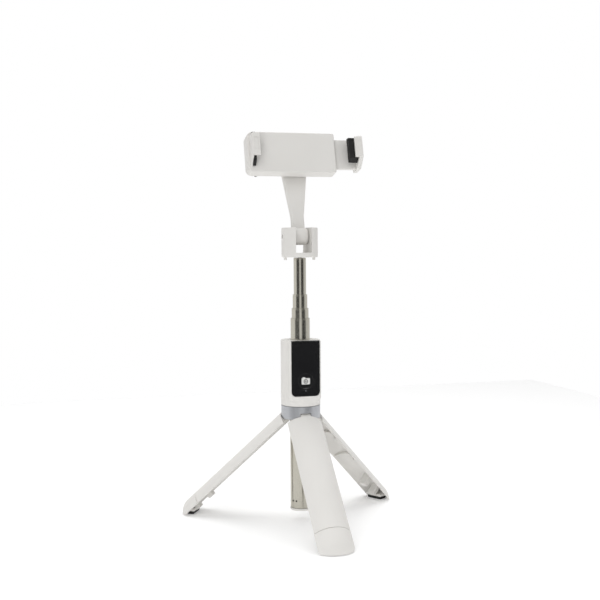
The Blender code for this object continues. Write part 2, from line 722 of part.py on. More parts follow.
def build_pole(stand):
    """Returns the last section's empty and the height of its top."""
    parent = stand
    top = HOUSING_TOP
    nested_top = HOUSING_TOP
    nested_bottom = PLUG_TOP + SECTION_ROOM_ABOVE_PLUG
    for i, radius in enumerate(SECTION_RADII):
        # Folded, a section stands on the bush of the one around it.
        last = i == len(SECTION_RADII) - 1
        nested_bottom += BUSH_FLANGE + 2 * GAP
        nested_top += SECTION_NEST_STEP
        length = nested_top - nested_bottom
        nested_bottom += BUSH_SPIGOT
        top += SECTION_PROUD[i]
        slide = joint_empty(f"section_slide_{i + 1}", (0, 0, 0), parent)
        tube_top = top - GAP if last else top
        bottom = top - length
        shape = tube(radius, radius - TUBE_WALL, bottom, tube_top, 24)
        node(f"pole_section_{i + 1}", shape, slide, "steel")
        node(f"pole_bush_{i + 1}", section_bush(radius, bottom), slide, "black_plastic")
        parent = slide
    return parent, top


# ------------------------------------------------------------------- head


def build_head(pole, base):
    """Yoke, its fastening and the tilt pin; base is the underside of the yoke."""
    bore = SECTION_RADII[-1] - TUBE_WALL
    plug = rod(bore - GAP, (0, 0, base - HEAD_PLUG_LENGTH), (0, 0, base - GAP), 24)
    screw_radius = HEAD_SCREW_RADIUS
    screw_low = base - HEAD_SCREW_DEPTH
    plug = cut(plug, rod(screw_radius + GAP / 2, (0, 0, screw_low - MM),
                         (0, 0, base + MM), 12))
    node("head_plug", plug, pole, "black_plastic")
    sink = HEAD_SCREW_SINK
    head_radius = HEAD_SCREW_HEAD
    head_top = base + YOKE_FLOOR - 0.1 * MM
    head_low = base + YOKE_FLOOR - sink + GAP
    screw = turned([(0.0, head_top), (head_radius, head_top), (head_radius, head_low),
                    (screw_radius, head_low), (screw_radius, screw_low), (0.0, screw_low)],
                   12, closed=False)
    node("head_screw", screw, pole, "steel")

    pan = joint_empty("head_pan", (0, 0, base), pole)
    yoke = rod(YOKE_RADIUS, (0, 0, 0), (0, 0, YOKE_HEIGHT), 36)
    yoke = bevelled(yoke, 0.6 * MM, 1)
    half = YOKE_SLOT / 2
    far = 2 * YOKE_RADIUS
    slot = box(-half, half, -far, far, YOKE_FLOOR, YOKE_HEIGHT + 5 * MM)
    sinkhole = rod(head_radius + GAP, (0, 0, YOKE_FLOOR - sink), (0, 0, YOKE_FLOOR + MM), 12)
    through = rod(screw_radius + GAP, (0, 0, -MM), (0, 0, YOKE_FLOOR + MM), 12)
    pin_hole = rod(TILT_PIN_RADIUS + GAP / 2, (-far, 0, TILT_HEIGHT), (far, 0, TILT_HEIGHT), 16)
    yoke = cut(yoke, slot, sinkhole, through, pin_hole)
    for side in (-1, 1):
        x = side * (YOKE_RADIUS - NUB_INSET)
        yoke = join(yoke, rod(NUB_RADIUS, (x, 0, -NUB_LENGTH), (x, 0, MM), 8))
    node("head_yoke", yoke, pan, "white_plastic")

    reach = YOKE_RADIUS - TILT_PIN_INSET
    pin = rod(TILT_PIN_RADIUS, (-reach, 0, TILT_HEIGHT), (reach, 0, TILT_HEIGHT), 16)
    node("tilt_pin", pin, pan, "steel")
    for i, side in enumerate((-1, 1)):
        inner = side * (KNUCKLE_WIDTH / 2 + GAP)
        outer = inner + side * WASHER_THICKNESS
        washer = rod(KNUCKLE_RADIUS - WASHER_INSET, (inner, 0, TILT_HEIGHT),
                     (outer, 0, TILT_HEIGHT), 16)
        hole = rod(TILT_PIN_RADIUS + GAP, (2 * inner, 0, TILT_HEIGHT), (0, 0, TILT_HEIGHT), 16)
        node(f"tilt_washer_{i + 1}", cut(washer, hole), pan, "white_plastic")
    return joint_empty("head_tilt", (0, 0, TILT_HEIGHT), pan, (-HEAD_LEAN, 0, 0))


def build_arm(tilt):
    """Knuckle in the yoke, neck and swivel boss; forward is -Y."""
    narrow = KNUCKLE_WIDTH / 2
    lean = math.degrees(math.asin((ARM_BOSS_RADIUS - narrow) / (ARM_LENGTH - YOKE_RADIUS)))
    neck = [(-narrow, 0.0), (narrow, 0.0), (narrow, YOKE_RADIUS + 2 * MM)]
    neck += arc(0, ARM_LENGTH, ARM_BOSS_RADIUS, -lean, 180 + lean, 16)
    neck += [(-narrow, YOKE_RADIUS + 2 * MM)]
    arm = outline([neck], ARM_BACK - ARM_FRONT, FRONTAL)
    shift(arm, y=(ARM_BACK + ARM_FRONT) / 2)
    arm = bevelled(arm, 0.8 * MM, 1)
    knuckle = rod(KNUCKLE_RADIUS, (-narrow, 0, 0), (narrow, 0, 0), 28)
    far = 30 * MM
    pin_hole = rod(TILT_PIN_RADIUS + GAP / 2, (-far, 0, 0), (far, 0, 0), 16)
    swivel_hole = rod(SWIVEL_RADIUS + GAP, (0, -far, ARM_LENGTH), (0, far, ARM_LENGTH), 16)
    arm = cut(join(arm, knuckle), pin_hole, swivel_hole)
    node("clamp_arm", arm, tilt, "white_plastic")
    return joint_empty("clamp_swivel", (0, 0, ARM_LENGTH), tilt)


# ------------------------------------------------------------------ clamp


def jaw_side(x_low, x_high):
    """A jaw's side wall: full height at the back, lip height at the front."""
    half = BODY_HALF_HEIGHT - JAW_INSET
    back = FRAME_BACK + JAW_INSET
    knee = BODY_FRONT
    loop = [(-back, -half + 3 * MM), (-back - 3 * MM, -half), (-knee, -half),
            (-JAW_REACH, LIP_BOTTOM), (-JAW_REACH, LIP_TOP), (-knee, half),
            (-back - 3 * MM, half), (-back, half - 3 * MM)]
    wall = outline([loop], x_high - x_low, SIDE)
    return shift(bevelled(wall, 0.9 * MM, 1, 20), x=(x_low + x_high) / 2)


def jaw_lip(x_low, x_high):
    lip = box(x_low, x_high, -JAW_REACH, -JAW_REACH + LIP_THICKNESS, LIP_BOTTOM, LIP_TOP)
    return bevelled(lip, 0.5 * MM, 1)


def screw_places():
    """(x, z) of the two screws that hold the back plate, at opposite corners."""
    z = BODY_HALF_HEIGHT - RIM_WALL / 2
    left, right = CLAMP_SCREW_INSETS
    return (-BODY_LEFT + left, -z), (BODY_RIGHT - right, z)


def build_clamp(swivel):
    """Frame with the fixed jaw, its back plate, guide and springs."""
    half = BODY_HALF_HEIGHT
    body = rounded_rectangle(-BODY_LEFT + MM, BODY_RIGHT, -half, half, 2 * MM, 2 * MM)
    body = outline([body], BODY_FRONT - FRAME_BACK, FRONTAL)
    shift(body, y=-(BODY_FRONT + FRAME_BACK) / 2)
    body = bevelled(body, 0.8 * MM, 1)
    left_wall = jaw_side(-BODY_LEFT, -BODY_LEFT + JAW_WALL)
    lip = jaw_lip(-BODY_LEFT + END_WALL, FIXED_LIP_EDGE)
    body = join(body, left_wall, lip)
    rim = half - RIM_WALL
    pocket = box(-BODY_LEFT + END_WALL, BODY_RIGHT + 5 * MM, -POCKET_FRONT, 0, -rim, rim)
    body = cut(body, pocket)
    boss = rod(BOSS_RADIUS, (0, -BODY_FRONT + MM, 0), (0, -FRAME_BACK - GAP, 0), 16)
    body = join(body, boss)
    screw_end = POCKET_FRONT + MM
    body = cut(body, rod(SWIVEL_RADIUS + GAP, (0, -screw_end, 0), (0, 0, 0), 16))
    hole = CLAMP_SCREW_RADIUS + GAP
    depth = -CLAMP_SCREW_LENGTH - MM
    for x, z in screw_places():
        body = cut(body, rod(hole, (x, depth, z), (x, 0, z), 12))
    node("clamp_frame", body, swivel, "white_plastic")

    plate_front = BACK_PLATE_BACK + BACK_PLATE_THICKNESS
    inset = BACK_PLATE_INSET
    plate = rounded_rectangle(-BODY_LEFT + 2 * inset, BODY_RIGHT - inset, -half + inset,
                              half - inset, 2 * MM, 2 * MM)
    plate = outline([plate], BACK_PLATE_THICKNESS, FRONTAL)
    shift(plate, y=-(plate_front + BACK_PLATE_BACK) / 2)
    plate = cut(plate, rod(SWIVEL_RADIUS + GAP, (0, -9 * MM, 0), (0, MM, 0), 16))
    shank = CLAMP_SCREW_RADIUS
    cap = CLAMP_SCREW_HEAD
    for i, (x, z) in enumerate(screw_places()):
        plate = cut(plate, rod(hole, (x, depth, z), (x, MM, z), 12))
        screw = turned([(0.0, 0.0), (cap, -0.1 * MM), (cap, -shank), (shank, -shank),
                        (shank, -CLAMP_SCREW_LENGTH), (0.0, -CLAMP_SCREW_LENGTH)],
                       12, closed=False)
        # The screw points forward, with its head just behind the plate.
        move(screw, Matrix.Rotation(-math.pi / 2, 4, "X"))
        shift(screw, x=x, y=shank + GAP - BACK_PLATE_BACK, z=z)
        node(f"clamp_screw_{i + 1}", screw, swivel, "steel")
    node("clamp_back_plate", plate, swivel, "white_plastic")

    guide_left = BODY_RIGHT - GAP - GUIDE_LENGTH
    guide = box(guide_left, BODY_RIGHT - GAP, -(SLIDER_BACK - GAP), -(FRAME_BACK + GAP),
                -rim + GAP, rim - GAP)
    rod_left = -BODY_LEFT + END_WALL + GAP
    for i, side in enumerate((-1, 1)):
        z = side * ROD_OFFSET
        end = BODY_RIGHT - GAP
        guide = cut(guide, rod(ROD_RADIUS + GAP, (guide_left - MM, -ROD_DEPTH, z),
                               (end + MM, -ROD_DEPTH, z), 12))
        bar = rod(ROD_RADIUS, (rod_left, -ROD_DEPTH, z), (end - MM, -ROD_DEPTH, z), 12)
        node(f"guide_rod_{i + 1}", bar, swivel, "steel")
        spring_left = SLIDER_END + SLIDER_WEB + GAP
        spring = coil(spring_left, guide_left - GAP, z)
        node(f"clamp_spring_{i + 1}", spring, swivel, "steel")
    node("clamp_guide", guide, swivel, "grey_plastic")

    pad = [(-BODY_FRONT - 0.6 * MM, -half + 3.5 * MM),
           (-JAW_REACH + LIP_THICKNESS + GAP, LIP_BOTTOM - MM),
           (-JAW_REACH + LIP_THICKNESS + GAP, LIP_TOP + 0.6 * MM),
           (-BODY_FRONT - 0.6 * MM, half - 1.5 * MM)]
    left = -BODY_LEFT + JAW_WALL + GAP
    pad = outline([pad], FIXED_PAD_FACE - left, SIDE)
    node("fixed_jaw_pad", shift(pad, x=(FIXED_PAD_FACE + left) / 2), swivel, "rubber")

    thick = WASHER_THICKNESS / 2
    washer = tube(ARM_BOSS_RADIUS - 2 * MM, SWIVEL_RADIUS + GAP, -thick, thick, 16)
    move(washer, Matrix.Rotation(math.pi / 2, 4, "X"))
    mid = (ARM_FRONT - BACK_PLATE_BACK) / 2
    node("swivel_washer", shift(washer, y=mid), swivel, "black_plastic")
    head = ARM_BACK + GAP
    shank = rod(SWIVEL_RADIUS, (0, -screw_end + GAP, 0), (0, head + GAP, 0), 16)
    cap = rod(SWIVEL_HEAD_RADIUS, (0, head, 0), (0, head + SWIVEL_HEAD_HEIGHT, 0), 16)
    node("swivel_screw", join(cap, shank), swivel, "steel")


def coil(left, right, z):
    """A compression spring along X, round its guide rod."""
    curve = bpy.data.curves.new("coil", "CURVE")
    curve.dimensions = "3D"
    curve.bevel_depth = SPRING_WIRE
    curve.bevel_resolution = 0
    curve.use_fill_caps = True
    per_turn = 8
    count = SPRING_TURNS * per_turn
    spline = curve.splines.new("POLY")
    spline.points.add(count)
    start = left + SPRING_WIRE
    length = right - left - 2 * SPRING_WIRE
    for i, point in enumerate(spline.points):
        angle = 2 * math.pi * i / per_turn
        x = start + length * i / count
        y = -ROD_DEPTH + SPRING_RADIUS * math.cos(angle)
        point.co = (x, y, z + SPRING_RADIUS * math.sin(angle), 1.0)
    obj = bpy.data.objects.new("coil", curve)
    TOOLS.objects.link(obj)
    return bake(obj)


def build_moving_jaw(swivel):
    slide = joint_empty("jaw_slide", (0, 0, 0), swivel)
    wall_right = MOVING_WALL + JAW_WALL
    jaw = jaw_side(MOVING_WALL, wall_right)
    lip = jaw_lip(MOVING_WALL - MOVING_LIP_INSET, wall_right - 0.6 * MM)
    front = POCKET_FRONT - GAP
    back = SLIDER_BACK
    end = SLIDER_END
    plate = [(end, -SLIDER_HALF_HEIGHT), (MOVING_WALL + MM, -SLIDER_HALF_HEIGHT),
             (MOVING_WALL + MM, SLIDER_HALF_HEIGHT), (end, SLIDER_HALF_HEIGHT)]
    slot_right = BOSS_RADIUS + GAP + TRAVEL_IN
    slot = rounded_rectangle(end + SLIDER_WEB, slot_right, -SLIDER_SLOT, SLIDER_SLOT)
    slider = outline([plate, slot], SLIDER_THICKNESS, FRONTAL)
    shift(slider, y=-(front + back) / 2)
    jaw = join(jaw, lip, slider)
    for side in (-1, 1):
        z = side * ROD_OFFSET
        heel = box(end, end + SLIDER_WEB, -back - MM, -(FRAME_BACK + GAP),
                   z - HEEL_HALF, z + HEEL_HALF)
        jaw = join(jaw, heel)
        hole = rod(ROD_RADIUS + GAP, (end - MM, -ROD_DEPTH, z),
                   (end + SLIDER_WEB + MM, -ROD_DEPTH, z), 12)
        jaw = cut(jaw, hole)
    node("moving_jaw", jaw, slide, "white_plastic")

    low = LIP_BOTTOM - 3 * MM
    high = LIP_TOP - 0.5 * MM
    pad_front = JAW_REACH - LIP_THICKNESS - GAP
    pad = [(-BODY_FRONT - 0.6 * MM, low), (-pad_front, LIP_BOTTOM + 0.5 * MM),
           (-pad_front, high - MM), (-BODY_FRONT - 0.6 * MM, high)]
    right = MOVING_WALL - GAP
    pad = outline([pad], right - MOVING_PAD_FACE, SIDE)
    node("moving_jaw_pad", shift(pad, x=(right + MOVING_PAD_FACE) / 2), slide, "rubber")


# ----------------------------------------------------------------- remote


def build_remote(stand):
    slide = joint_empty("remote_slide", (0, 0, 0), stand)
    half = REMOTE_WIDTH / 2
    case_front = REMOTE_FRONT - FACE_THICKNESS - GAP
    frame = rounded_rectangle(-half, half, REMOTE_BOTTOM, HOUSING_TOP,
                              lower=REMOTE_CORNER, upper=REMOTE_TOP_CORNER)
    case = outline([frame], case_front - REMOTE_BACK, FRONTAL)
    shift(case, y=-(case_front + REMOTE_BACK) / 2)
    inner = rounded_rectangle(-half + REMOTE_WALL, half - REMOTE_WALL,
                              REMOTE_BOTTOM + REMOTE_WALL, HOUSING_TOP - REMOTE_WALL,
                              lower=REMOTE_CORNER - REMOTE_WALL,
                              upper=REMOTE_TOP_CORNER / 2)
    floor = REMOTE_BACK + REMOTE_BACK_WALL
    hollow = outline([inner], case_front - floor + MM, FRONTAL)
    shift(hollow, y=-(case_front + floor + MM) / 2)
    node("remote_case", cut(case, hollow), slide, "black_plastic")

    button_hole = arc(0, BUTTON_Z, BUTTON_RADIUS + GAP, 0, 345, 23)
    light_z = REMOTE_BOTTOM + LIGHT_HEIGHT
    light_hole = arc(0, light_z, LIGHT_RADIUS + GAP / 2, 0, 330, 11)
    face = outline([frame, button_hole, light_hole], FACE_THICKNESS, FRONTAL)
    node("remote_face", shift(face, y=-REMOTE_FRONT + FACE_THICKNESS / 2), slide, "black_gloss")

    lens = rod(LIGHT_RADIUS, (0, -REMOTE_FRONT, light_z),
               (0, -REMOTE_FRONT + FACE_THICKNESS, light_z), 12)
    node("remote_light", lens, slide, "light_lens")

    board_back = floor + GAP
    board_front = board_back + BOARD_THICKNESS
    wide = half - REMOTE_WALL - 2 * GAP
    board = box(-wide, wide, -board_front, -board_back,
                REMOTE_BOTTOM + REMOTE_CORNER, REMOTE_BOTTOM + BOARD_TOP)
    node("remote_circuit_board", board, slide, "circuit_green")
    size = SWITCH_SIZE / 2
    switch = box(-size, size, -board_front - GAP - SWITCH_HEIGHT, -board_front - GAP,
                 BUTTON_Z - size, BUTTON_Z + size)
    node("remote_switch", bevelled(switch, 0.1 * MM, 1), slide, "steel")
    cell_z = REMOTE_BOTTOM + BATTERY_HEIGHT
    cell = rod(BATTERY_RADIUS, (0, -board_back, cell_z),
               (0, -board_back - BATTERY_THICKNESS, cell_z), 24)
    node("remote_battery", bevelled(cell, 0.25 * MM, 1), slide, "steel")

    press = joint_empty("button_press", (0, -REMOTE_FRONT, BUTTON_Z), slide)
    cap = rod(BUTTON_RADIUS, (0, 0, 0), (0, FACE_THICKNESS, 0), 36)
    node("remote_button", cap, press, "black_gloss")


# ------------------------------------------------------------- whole model


def stand_offset():
    """Shift that puts the middle of the footprint over the origin."""
    return (foot_extent(0.0) - foot_extent(math.pi / LEG_COUNT)) / 2


def main():
    stand = joint_empty("stand", (0, stand_offset(), 0))
    build_column(stand)
    build_hub(stand)
    build_housing(stand)
    build_legs(stand)
    pole, top = build_pole(stand)
    tilt = build_head(pole, top)
    swivel = build_arm(tilt)
    build_clamp(swivel)
    build_moving_jaw(swivel)
    build_remote(stand)


main()
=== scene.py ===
# %% [markdown]
# # A pocket tripod selfie stick
#
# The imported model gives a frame: plain solids in their true places, and joints.
# This lesson builds the fine surfaces around that frame. Each piece is made in
# the way that suits it: a lathe in Geometry Nodes for what is round, filled
# outlines for what is flat, Booleans for pockets, and small trees for what
# repeats. Every finish is made from nodes.

# %% Load the frame
import json
import math

import bmesh
import bpy
from mathutils import Matrix, Vector

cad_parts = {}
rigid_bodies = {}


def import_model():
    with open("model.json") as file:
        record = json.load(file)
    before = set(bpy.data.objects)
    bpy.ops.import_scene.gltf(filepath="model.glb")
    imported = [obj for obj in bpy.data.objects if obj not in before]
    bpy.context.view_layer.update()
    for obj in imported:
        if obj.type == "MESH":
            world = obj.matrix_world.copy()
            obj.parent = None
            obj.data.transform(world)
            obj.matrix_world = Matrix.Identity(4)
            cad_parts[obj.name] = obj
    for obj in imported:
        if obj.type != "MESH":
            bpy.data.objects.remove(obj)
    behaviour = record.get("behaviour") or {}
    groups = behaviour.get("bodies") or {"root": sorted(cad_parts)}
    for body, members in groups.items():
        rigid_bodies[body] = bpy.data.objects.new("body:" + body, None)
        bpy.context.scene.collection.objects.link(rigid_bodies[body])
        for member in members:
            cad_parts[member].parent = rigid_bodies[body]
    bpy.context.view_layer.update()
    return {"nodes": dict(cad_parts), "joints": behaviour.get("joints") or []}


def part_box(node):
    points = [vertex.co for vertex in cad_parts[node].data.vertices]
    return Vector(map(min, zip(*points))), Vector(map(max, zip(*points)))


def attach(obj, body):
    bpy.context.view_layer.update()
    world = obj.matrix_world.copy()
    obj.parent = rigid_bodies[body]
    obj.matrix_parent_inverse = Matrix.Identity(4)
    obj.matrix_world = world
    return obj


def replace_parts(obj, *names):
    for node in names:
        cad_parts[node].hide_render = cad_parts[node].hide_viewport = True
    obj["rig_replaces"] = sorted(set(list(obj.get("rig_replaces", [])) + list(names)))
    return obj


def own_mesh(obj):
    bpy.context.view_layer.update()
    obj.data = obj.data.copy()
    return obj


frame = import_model()
JOINTS = {joint["name"]: joint for joint in frame["joints"]}
MM = 0.001
GAP = 0.3 * MM

# %% [markdown]
# ## Local frames
#
# The legs lean, and so does the clamp. A piece is easiest to model upright at
# the origin, so each group gets a matrix that carries it to its place. The
# matrices come from the joints: a hinge's position and axis say where the
# group stands and which way it leans.

# %% Matrices from the joints
column_low, column_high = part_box("column_tube")
POLE = Matrix.Translation(((column_low.x + column_high.x) / 2,
                           (column_low.y + column_high.y) / 2, 0.0))
POLE_Y = POLE.translation.y
LEG_OPEN = math.radians(JOINTS["leg_1_fold"]["range_deg"][1])
SWIVEL_AXIS = Vector(JOINTS["clamp_swivel"]["axis"])
LEAN = math.atan2(SWIVEL_AXIS.z, -SWIVEL_AXIS.y)
LEAN_BACK = Matrix.Rotation(-LEAN, 4, "X")


def at_joint(name, turn):
    return Matrix.Translation(JOINTS[name]["pos_m"]) @ turn


LEGS = []
for k in range(3):
    spread = Matrix.Rotation(math.tau * k / 3, 4, "Z")
    open_leg = Matrix.Rotation(-LEG_OPEN, 4, "X")
    LEGS.append(at_joint(f"leg_{k + 1}_fold", spread @ open_leg))
TILT = at_joint("head_tilt", LEAN_BACK)
CLAMP = at_joint("clamp_swivel", LEAN_BACK)


def local_box(node, matrix):
    """Lowest and highest corner of a CAD node in a local frame."""
    back = matrix.inverted()
    points = [back @ v.co for v in frame["nodes"][node].data.vertices]
    low = Vector([min(p[i] for p in points) for i in range(3)])
    high = Vector([max(p[i] for p in points) for i in range(3)])
    return low, high


def half_width(node):
    low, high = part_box(node)
    return (high.x - low.x) / 2


print("legs open", round(math.degrees(LEG_OPEN), 1), "lean", round(math.degrees(LEAN), 1))

# %% [markdown]
# ## Modelling helpers
#
# A few small functions carry the work. `solid` turns an evaluated object into
# a plain mesh with its modifiers applied. `flat` fills an outline and gives it
# thickness with rounded edges, which is what a moulded plate looks like.

# %% Helpers for plain meshes
WELD = 0.004 * MM


def link(name, data):
    obj = bpy.data.objects.new(name, data)
    bpy.context.scene.collection.objects.link(obj)
    return obj


def applied(obj):
    """A new mesh of the object with its modifiers applied."""
    bpy.context.view_layer.update()
    graph = bpy.context.evaluated_depsgraph_get()
    return bpy.data.meshes.new_from_object(obj.evaluated_get(graph))


def solid(obj):
    """Apply modifiers or a curve's bevel, weld the seams, face outwards."""
    mesh = applied(obj)
    work = bmesh.new()
    work.from_mesh(mesh)
    bmesh.ops.remove_doubles(work, verts=work.verts, dist=WELD)
    bmesh.ops.dissolve_degenerate(work, edges=work.edges, dist=WELD / 2)
    bmesh.ops.recalc_face_normals(work, faces=work.faces)
    if work.calc_volume(signed=True) < 0:
        bmesh.ops.reverse_faces(work, faces=work.faces)
    work.to_mesh(mesh)
    work.free()
    name = obj.name
    bpy.data.objects.remove(obj, do_unlink=True)
    return link(name, mesh)


def move(obj, matrix):
    obj.data.transform(matrix)
    return obj


def shift(obj, x=0.0, y=0.0, z=0.0):
    return move(obj, Matrix.Translation((x, y, z)))


def arc(x, y, radius, start, end, steps):
    """Points on an arc, angles in degrees from +X."""
    points = []
    for i in range(steps + 1):
        angle = math.radians(start + (end - start) * i / steps)
        points.append((x + radius * math.cos(angle), y + radius * math.sin(angle)))
    return points


def circle(height, radius, count):
    """A closed round outline, centred above the origin."""
    return arc(0, height, radius, 0, 360 - 360 / count, count - 1)


def softened(loop, radius, steps=5, sharp=25):
    """Round each sharp corner of an outline with an arc."""
    result = []
    count = len(loop)
    for i in range(count):
        here = Vector(loop[i])
        back = Vector(loop[i - 1]) - here
        ahead = Vector(loop[(i + 1) % count]) - here
        turn = math.pi - back.angle(ahead)
        if turn < math.radians(sharp):
            result.append(tuple(here))
            continue
        reach = min(radius * math.tan(turn / 2), 0.45 * back.length, 0.45 * ahead.length)
        start = here + back.normalized() * reach
        end = here + ahead.normalized() * reach
        inward = (back.normalized() + ahead.normalized()).normalized()
        centre = here + inward * reach / math.sin(turn / 2)
        spoke = start - centre
        sweep = spoke.angle_signed(end - centre)
        for j in range(steps + 1):
            angle = -sweep * j / steps
            result.append(tuple(centre + Matrix.Rotation(angle, 2) @ spoke))
    return result


def rectangle(left, right, bottom, top):
    return [(left, bottom), (right, bottom), (right, top), (left, top)]


def soft_box(left, right, bottom, top, radius, steps=5):
    return softened(rectangle(left, right, bottom, top), radius, steps)


FRONTAL = Matrix.Rotation(math.pi / 2, 4, "X")
SIDE = Matrix(((0, 0, 1, 0), (1, 0, 0, 0), (0, 1, 0, 0), (0, 0, 0, 1)))


def flat(loops, low, high, edge=0.0, plane=Matrix()):
    """Fill outlines and give them thickness from low to high, edges rounded."""
    curve = bpy.data.curves.new("flat", "CURVE")
    curve.dimensions = "2D"
    curve.fill_mode = "BOTH"
    curve.extrude = (high - low) / 2 - edge
    curve.bevel_depth = edge
    curve.bevel_resolution = 3
    curve.offset = -edge
    for loop in loops:
        spline = curve.splines.new("POLY")
        spline.points.add(len(loop) - 1)
        for point, (u, v) in zip(spline.points, loop):
            point.co = (u, v, 0.0, 1.0)
        spline.use_cyclic_u = True
    plate = shift(solid(link("flat", curve)), z=(low + high) / 2)
    return move(plate, plane)


def block(x_low, x_high, y_low, y_high, z_low, z_high):
    """A box between limits, used as a cutter or as the core of a union."""
    return flat([rectangle(x_low, x_high, y_low, y_high)], z_low, z_high)


def boolean(obj, tools, operation):
    for tool in tools:
        change = obj.modifiers.new("change", "BOOLEAN")
        change.operation = operation
        change.solver = "EXACT"
        change.object = tool
        obj = solid(obj)
        bpy.data.objects.remove(tool, do_unlink=True)
        if len(obj.data.polygons) < 5:
            raise RuntimeError("a Boolean left nothing")
    return obj


def cut(obj, *tools):
    return boolean(obj, tools, "DIFFERENCE")


def join(obj, *tools):
    return boolean(obj, tools, "UNION")


def common(obj, tool):
    return boolean(obj, [tool], "INTERSECT")


def rounded(obj, width, segments=3, sharp=40):
    """Break every sharp edge with a small round."""
    edge = obj.modifiers.new("round", "BEVEL")
    edge.width = width
    edge.segments = segments
    edge.limit_method = "ANGLE"
    edge.angle_limit = math.radians(sharp)
    edge.miter_outer = "MITER_ARC"
    return solid(obj)


print("helpers ready")

# %% [markdown]
# ## Trees for what turns and what repeats
#
# Geometry Nodes make a shape from a rule. `grow` runs a tree on a small input
# mesh and keeps the result as a plain mesh. Inputs are set by the socket's
# identifier, since two sockets may share a name.

# %% Build and run a tree
def feed(tree, socket, value):
    """Link an output, or a node's first output, into a socket, or set its value."""
    if isinstance(value, bpy.types.Node):
        value = value.outputs[0]
    if isinstance(value, bpy.types.NodeSocket):
        tree.links.new(value, socket)
    else:
        socket.default_value = value


def add(tree, kind, **inputs):
    """Add a node; inputs are values, or the output sockets that feed it."""
    made = tree.nodes.new(kind)
    for label, value in inputs.items():
        feed(tree, made.inputs[label.replace("_", " ")], value)
    return made


def maths(tree, operation, *values, kind="Math"):
    """The result of a Math or VectorMath node."""
    node = tree.nodes.new("ShaderNode" + kind)
    node.operation = operation
    for socket, value in zip(node.inputs, values):
        feed(tree, socket, value)
    return node.outputs[0]


def start_tree(name, **sockets):
    """A tree with a geometry input and output, named inputs and a material."""
    tree = bpy.data.node_groups.new(name, "GeometryNodeTree")
    face = tree.interface
    face.new_socket("Geometry", in_out="OUTPUT", socket_type="NodeSocketGeometry")
    labels = {"Geometry": "Geometry", **sockets, "Material": "Material"}
    for label, kind in labels.items():
        face.new_socket(label.replace("_", " "), in_out="INPUT",
                        socket_type="NodeSocket" + kind)
    return tree, tree.nodes.new("NodeGroupInput").outputs


def end_tree(tree, given, geometry):
    """Every tree ends in real geometry that has its material."""
    real = add(tree, "GeometryNodeRealizeInstances", Geometry=geometry)
    coat = add(tree, "GeometryNodeSetMaterial", Geometry=real, Material=given["Material"])
    add(tree, "NodeGroupOutput", Geometry=coat)
    return tree


def grow(name, tree, mesh=None, **values):
    """Run a tree and keep its result as a plain mesh object."""
    source = link(name, mesh or bpy.data.meshes.new(name))
    change = source.modifiers.new("rule", "NODES")
    change.node_group = tree
    for item in tree.interface.items_tree:
        key = item.name.replace(" ", "_")
        if item.in_out == "INPUT" and key in values:
            change[item.identifier] = values[key]
    return solid(source)


print("trees can be grown")

# %% [markdown]
# ### The lathe
#
# Tubes, rings, screws and caps are turned. The tree sweeps a drawn profile
# round a circle, as a lathe does. The profile is drawn at a distance from the
# circle, so a point on the axis closes into a neat pole when it is welded.

# %% Lathe tree
LATHE_REACH = 50.0 * MM
HOLE_EDGE = 0.05 * MM                # rounding at the ends of a drill
ALONG_X = Matrix.Rotation(math.pi / 2, 4, "Y")
ALONG_Y = Matrix.Rotation(-math.pi / 2, 4, "X")


def lathe_tree():
    tree, given = start_tree("lathe", Steps="Int")
    profile = add(tree, "GeometryNodeMeshToCurve", Mesh=given["Geometry"])
    path = add(tree, "GeometryNodeCurvePrimitiveCircle", Resolution=given["Steps"],
               Radius=LATHE_REACH)
    upright = add(tree, "GeometryNodeSetCurveNormal", Curve=path)
    upright.mode = "Z_UP"
    sweep = add(tree, "GeometryNodeCurveToMesh", Curve=upright, Profile_Curve=profile)
    return end_tree(tree, given, sweep)


LATHE = lathe_tree()


def turned(profile, steps=96, closed=True):
    """Turn (radius, height) points round Z."""
    count = len(profile)
    edges = [(i, i + 1) for i in range(count - 1)]
    if closed:
        edges.append((count - 1, 0))
    mesh = bpy.data.meshes.new("profile")
    mesh.from_pydata([(r - LATHE_REACH, -z, 0.0) for r, z in profile], edges, [])
    return grow("turned", LATHE, mesh, Steps=steps)


def ring(radius, bore, bottom, top, edge, steps=96):
    """A tube or ring with rounded rims."""
    wall = [(radius, bottom), (radius, top), (bore, top), (bore, bottom)]
    return turned(softened(wall, edge, 4), steps)


def stud(radius, bottom, top, edge=HOLE_EDGE, steps=48):
    """A solid round pin with rounded ends."""
    side = softened([(0.0, bottom), (radius, bottom), (radius, top), (0.0, top)], edge, 4)
    side = [(0.0, bottom)] + [p for p in side if p[0] > WELD] + [(0.0, top)]
    return turned(side, steps, closed=False)


def bar(radius, start, end, edge=HOLE_EDGE, steps=48, along=ALONG_X):
    """A stud laid along X or Y, for a pin or a drill."""
    return move(stud(radius, start, end, edge, steps), along)


print("lathe ready")

# %% [markdown]
# ### Ribs, coils and rings of things
#
# Rubber pads have rows of ribs, a spring is wire wound on a helix, and the
# plug has ribs spaced round a circle. Each is one tree with its sizes as
# inputs, so the same tree serves several pieces.

# %% Trees for repeated detail
def wire(tree, curve, radius, resolution):
    """Round wire along a curve, its ends capped."""
    section = add(tree, "GeometryNodeCurvePrimitiveCircle", Resolution=resolution, Radius=radius)
    return add(tree, "GeometryNodeCurveToMesh", Curve=curve, Profile_Curve=section,
               Fill_Caps=True)


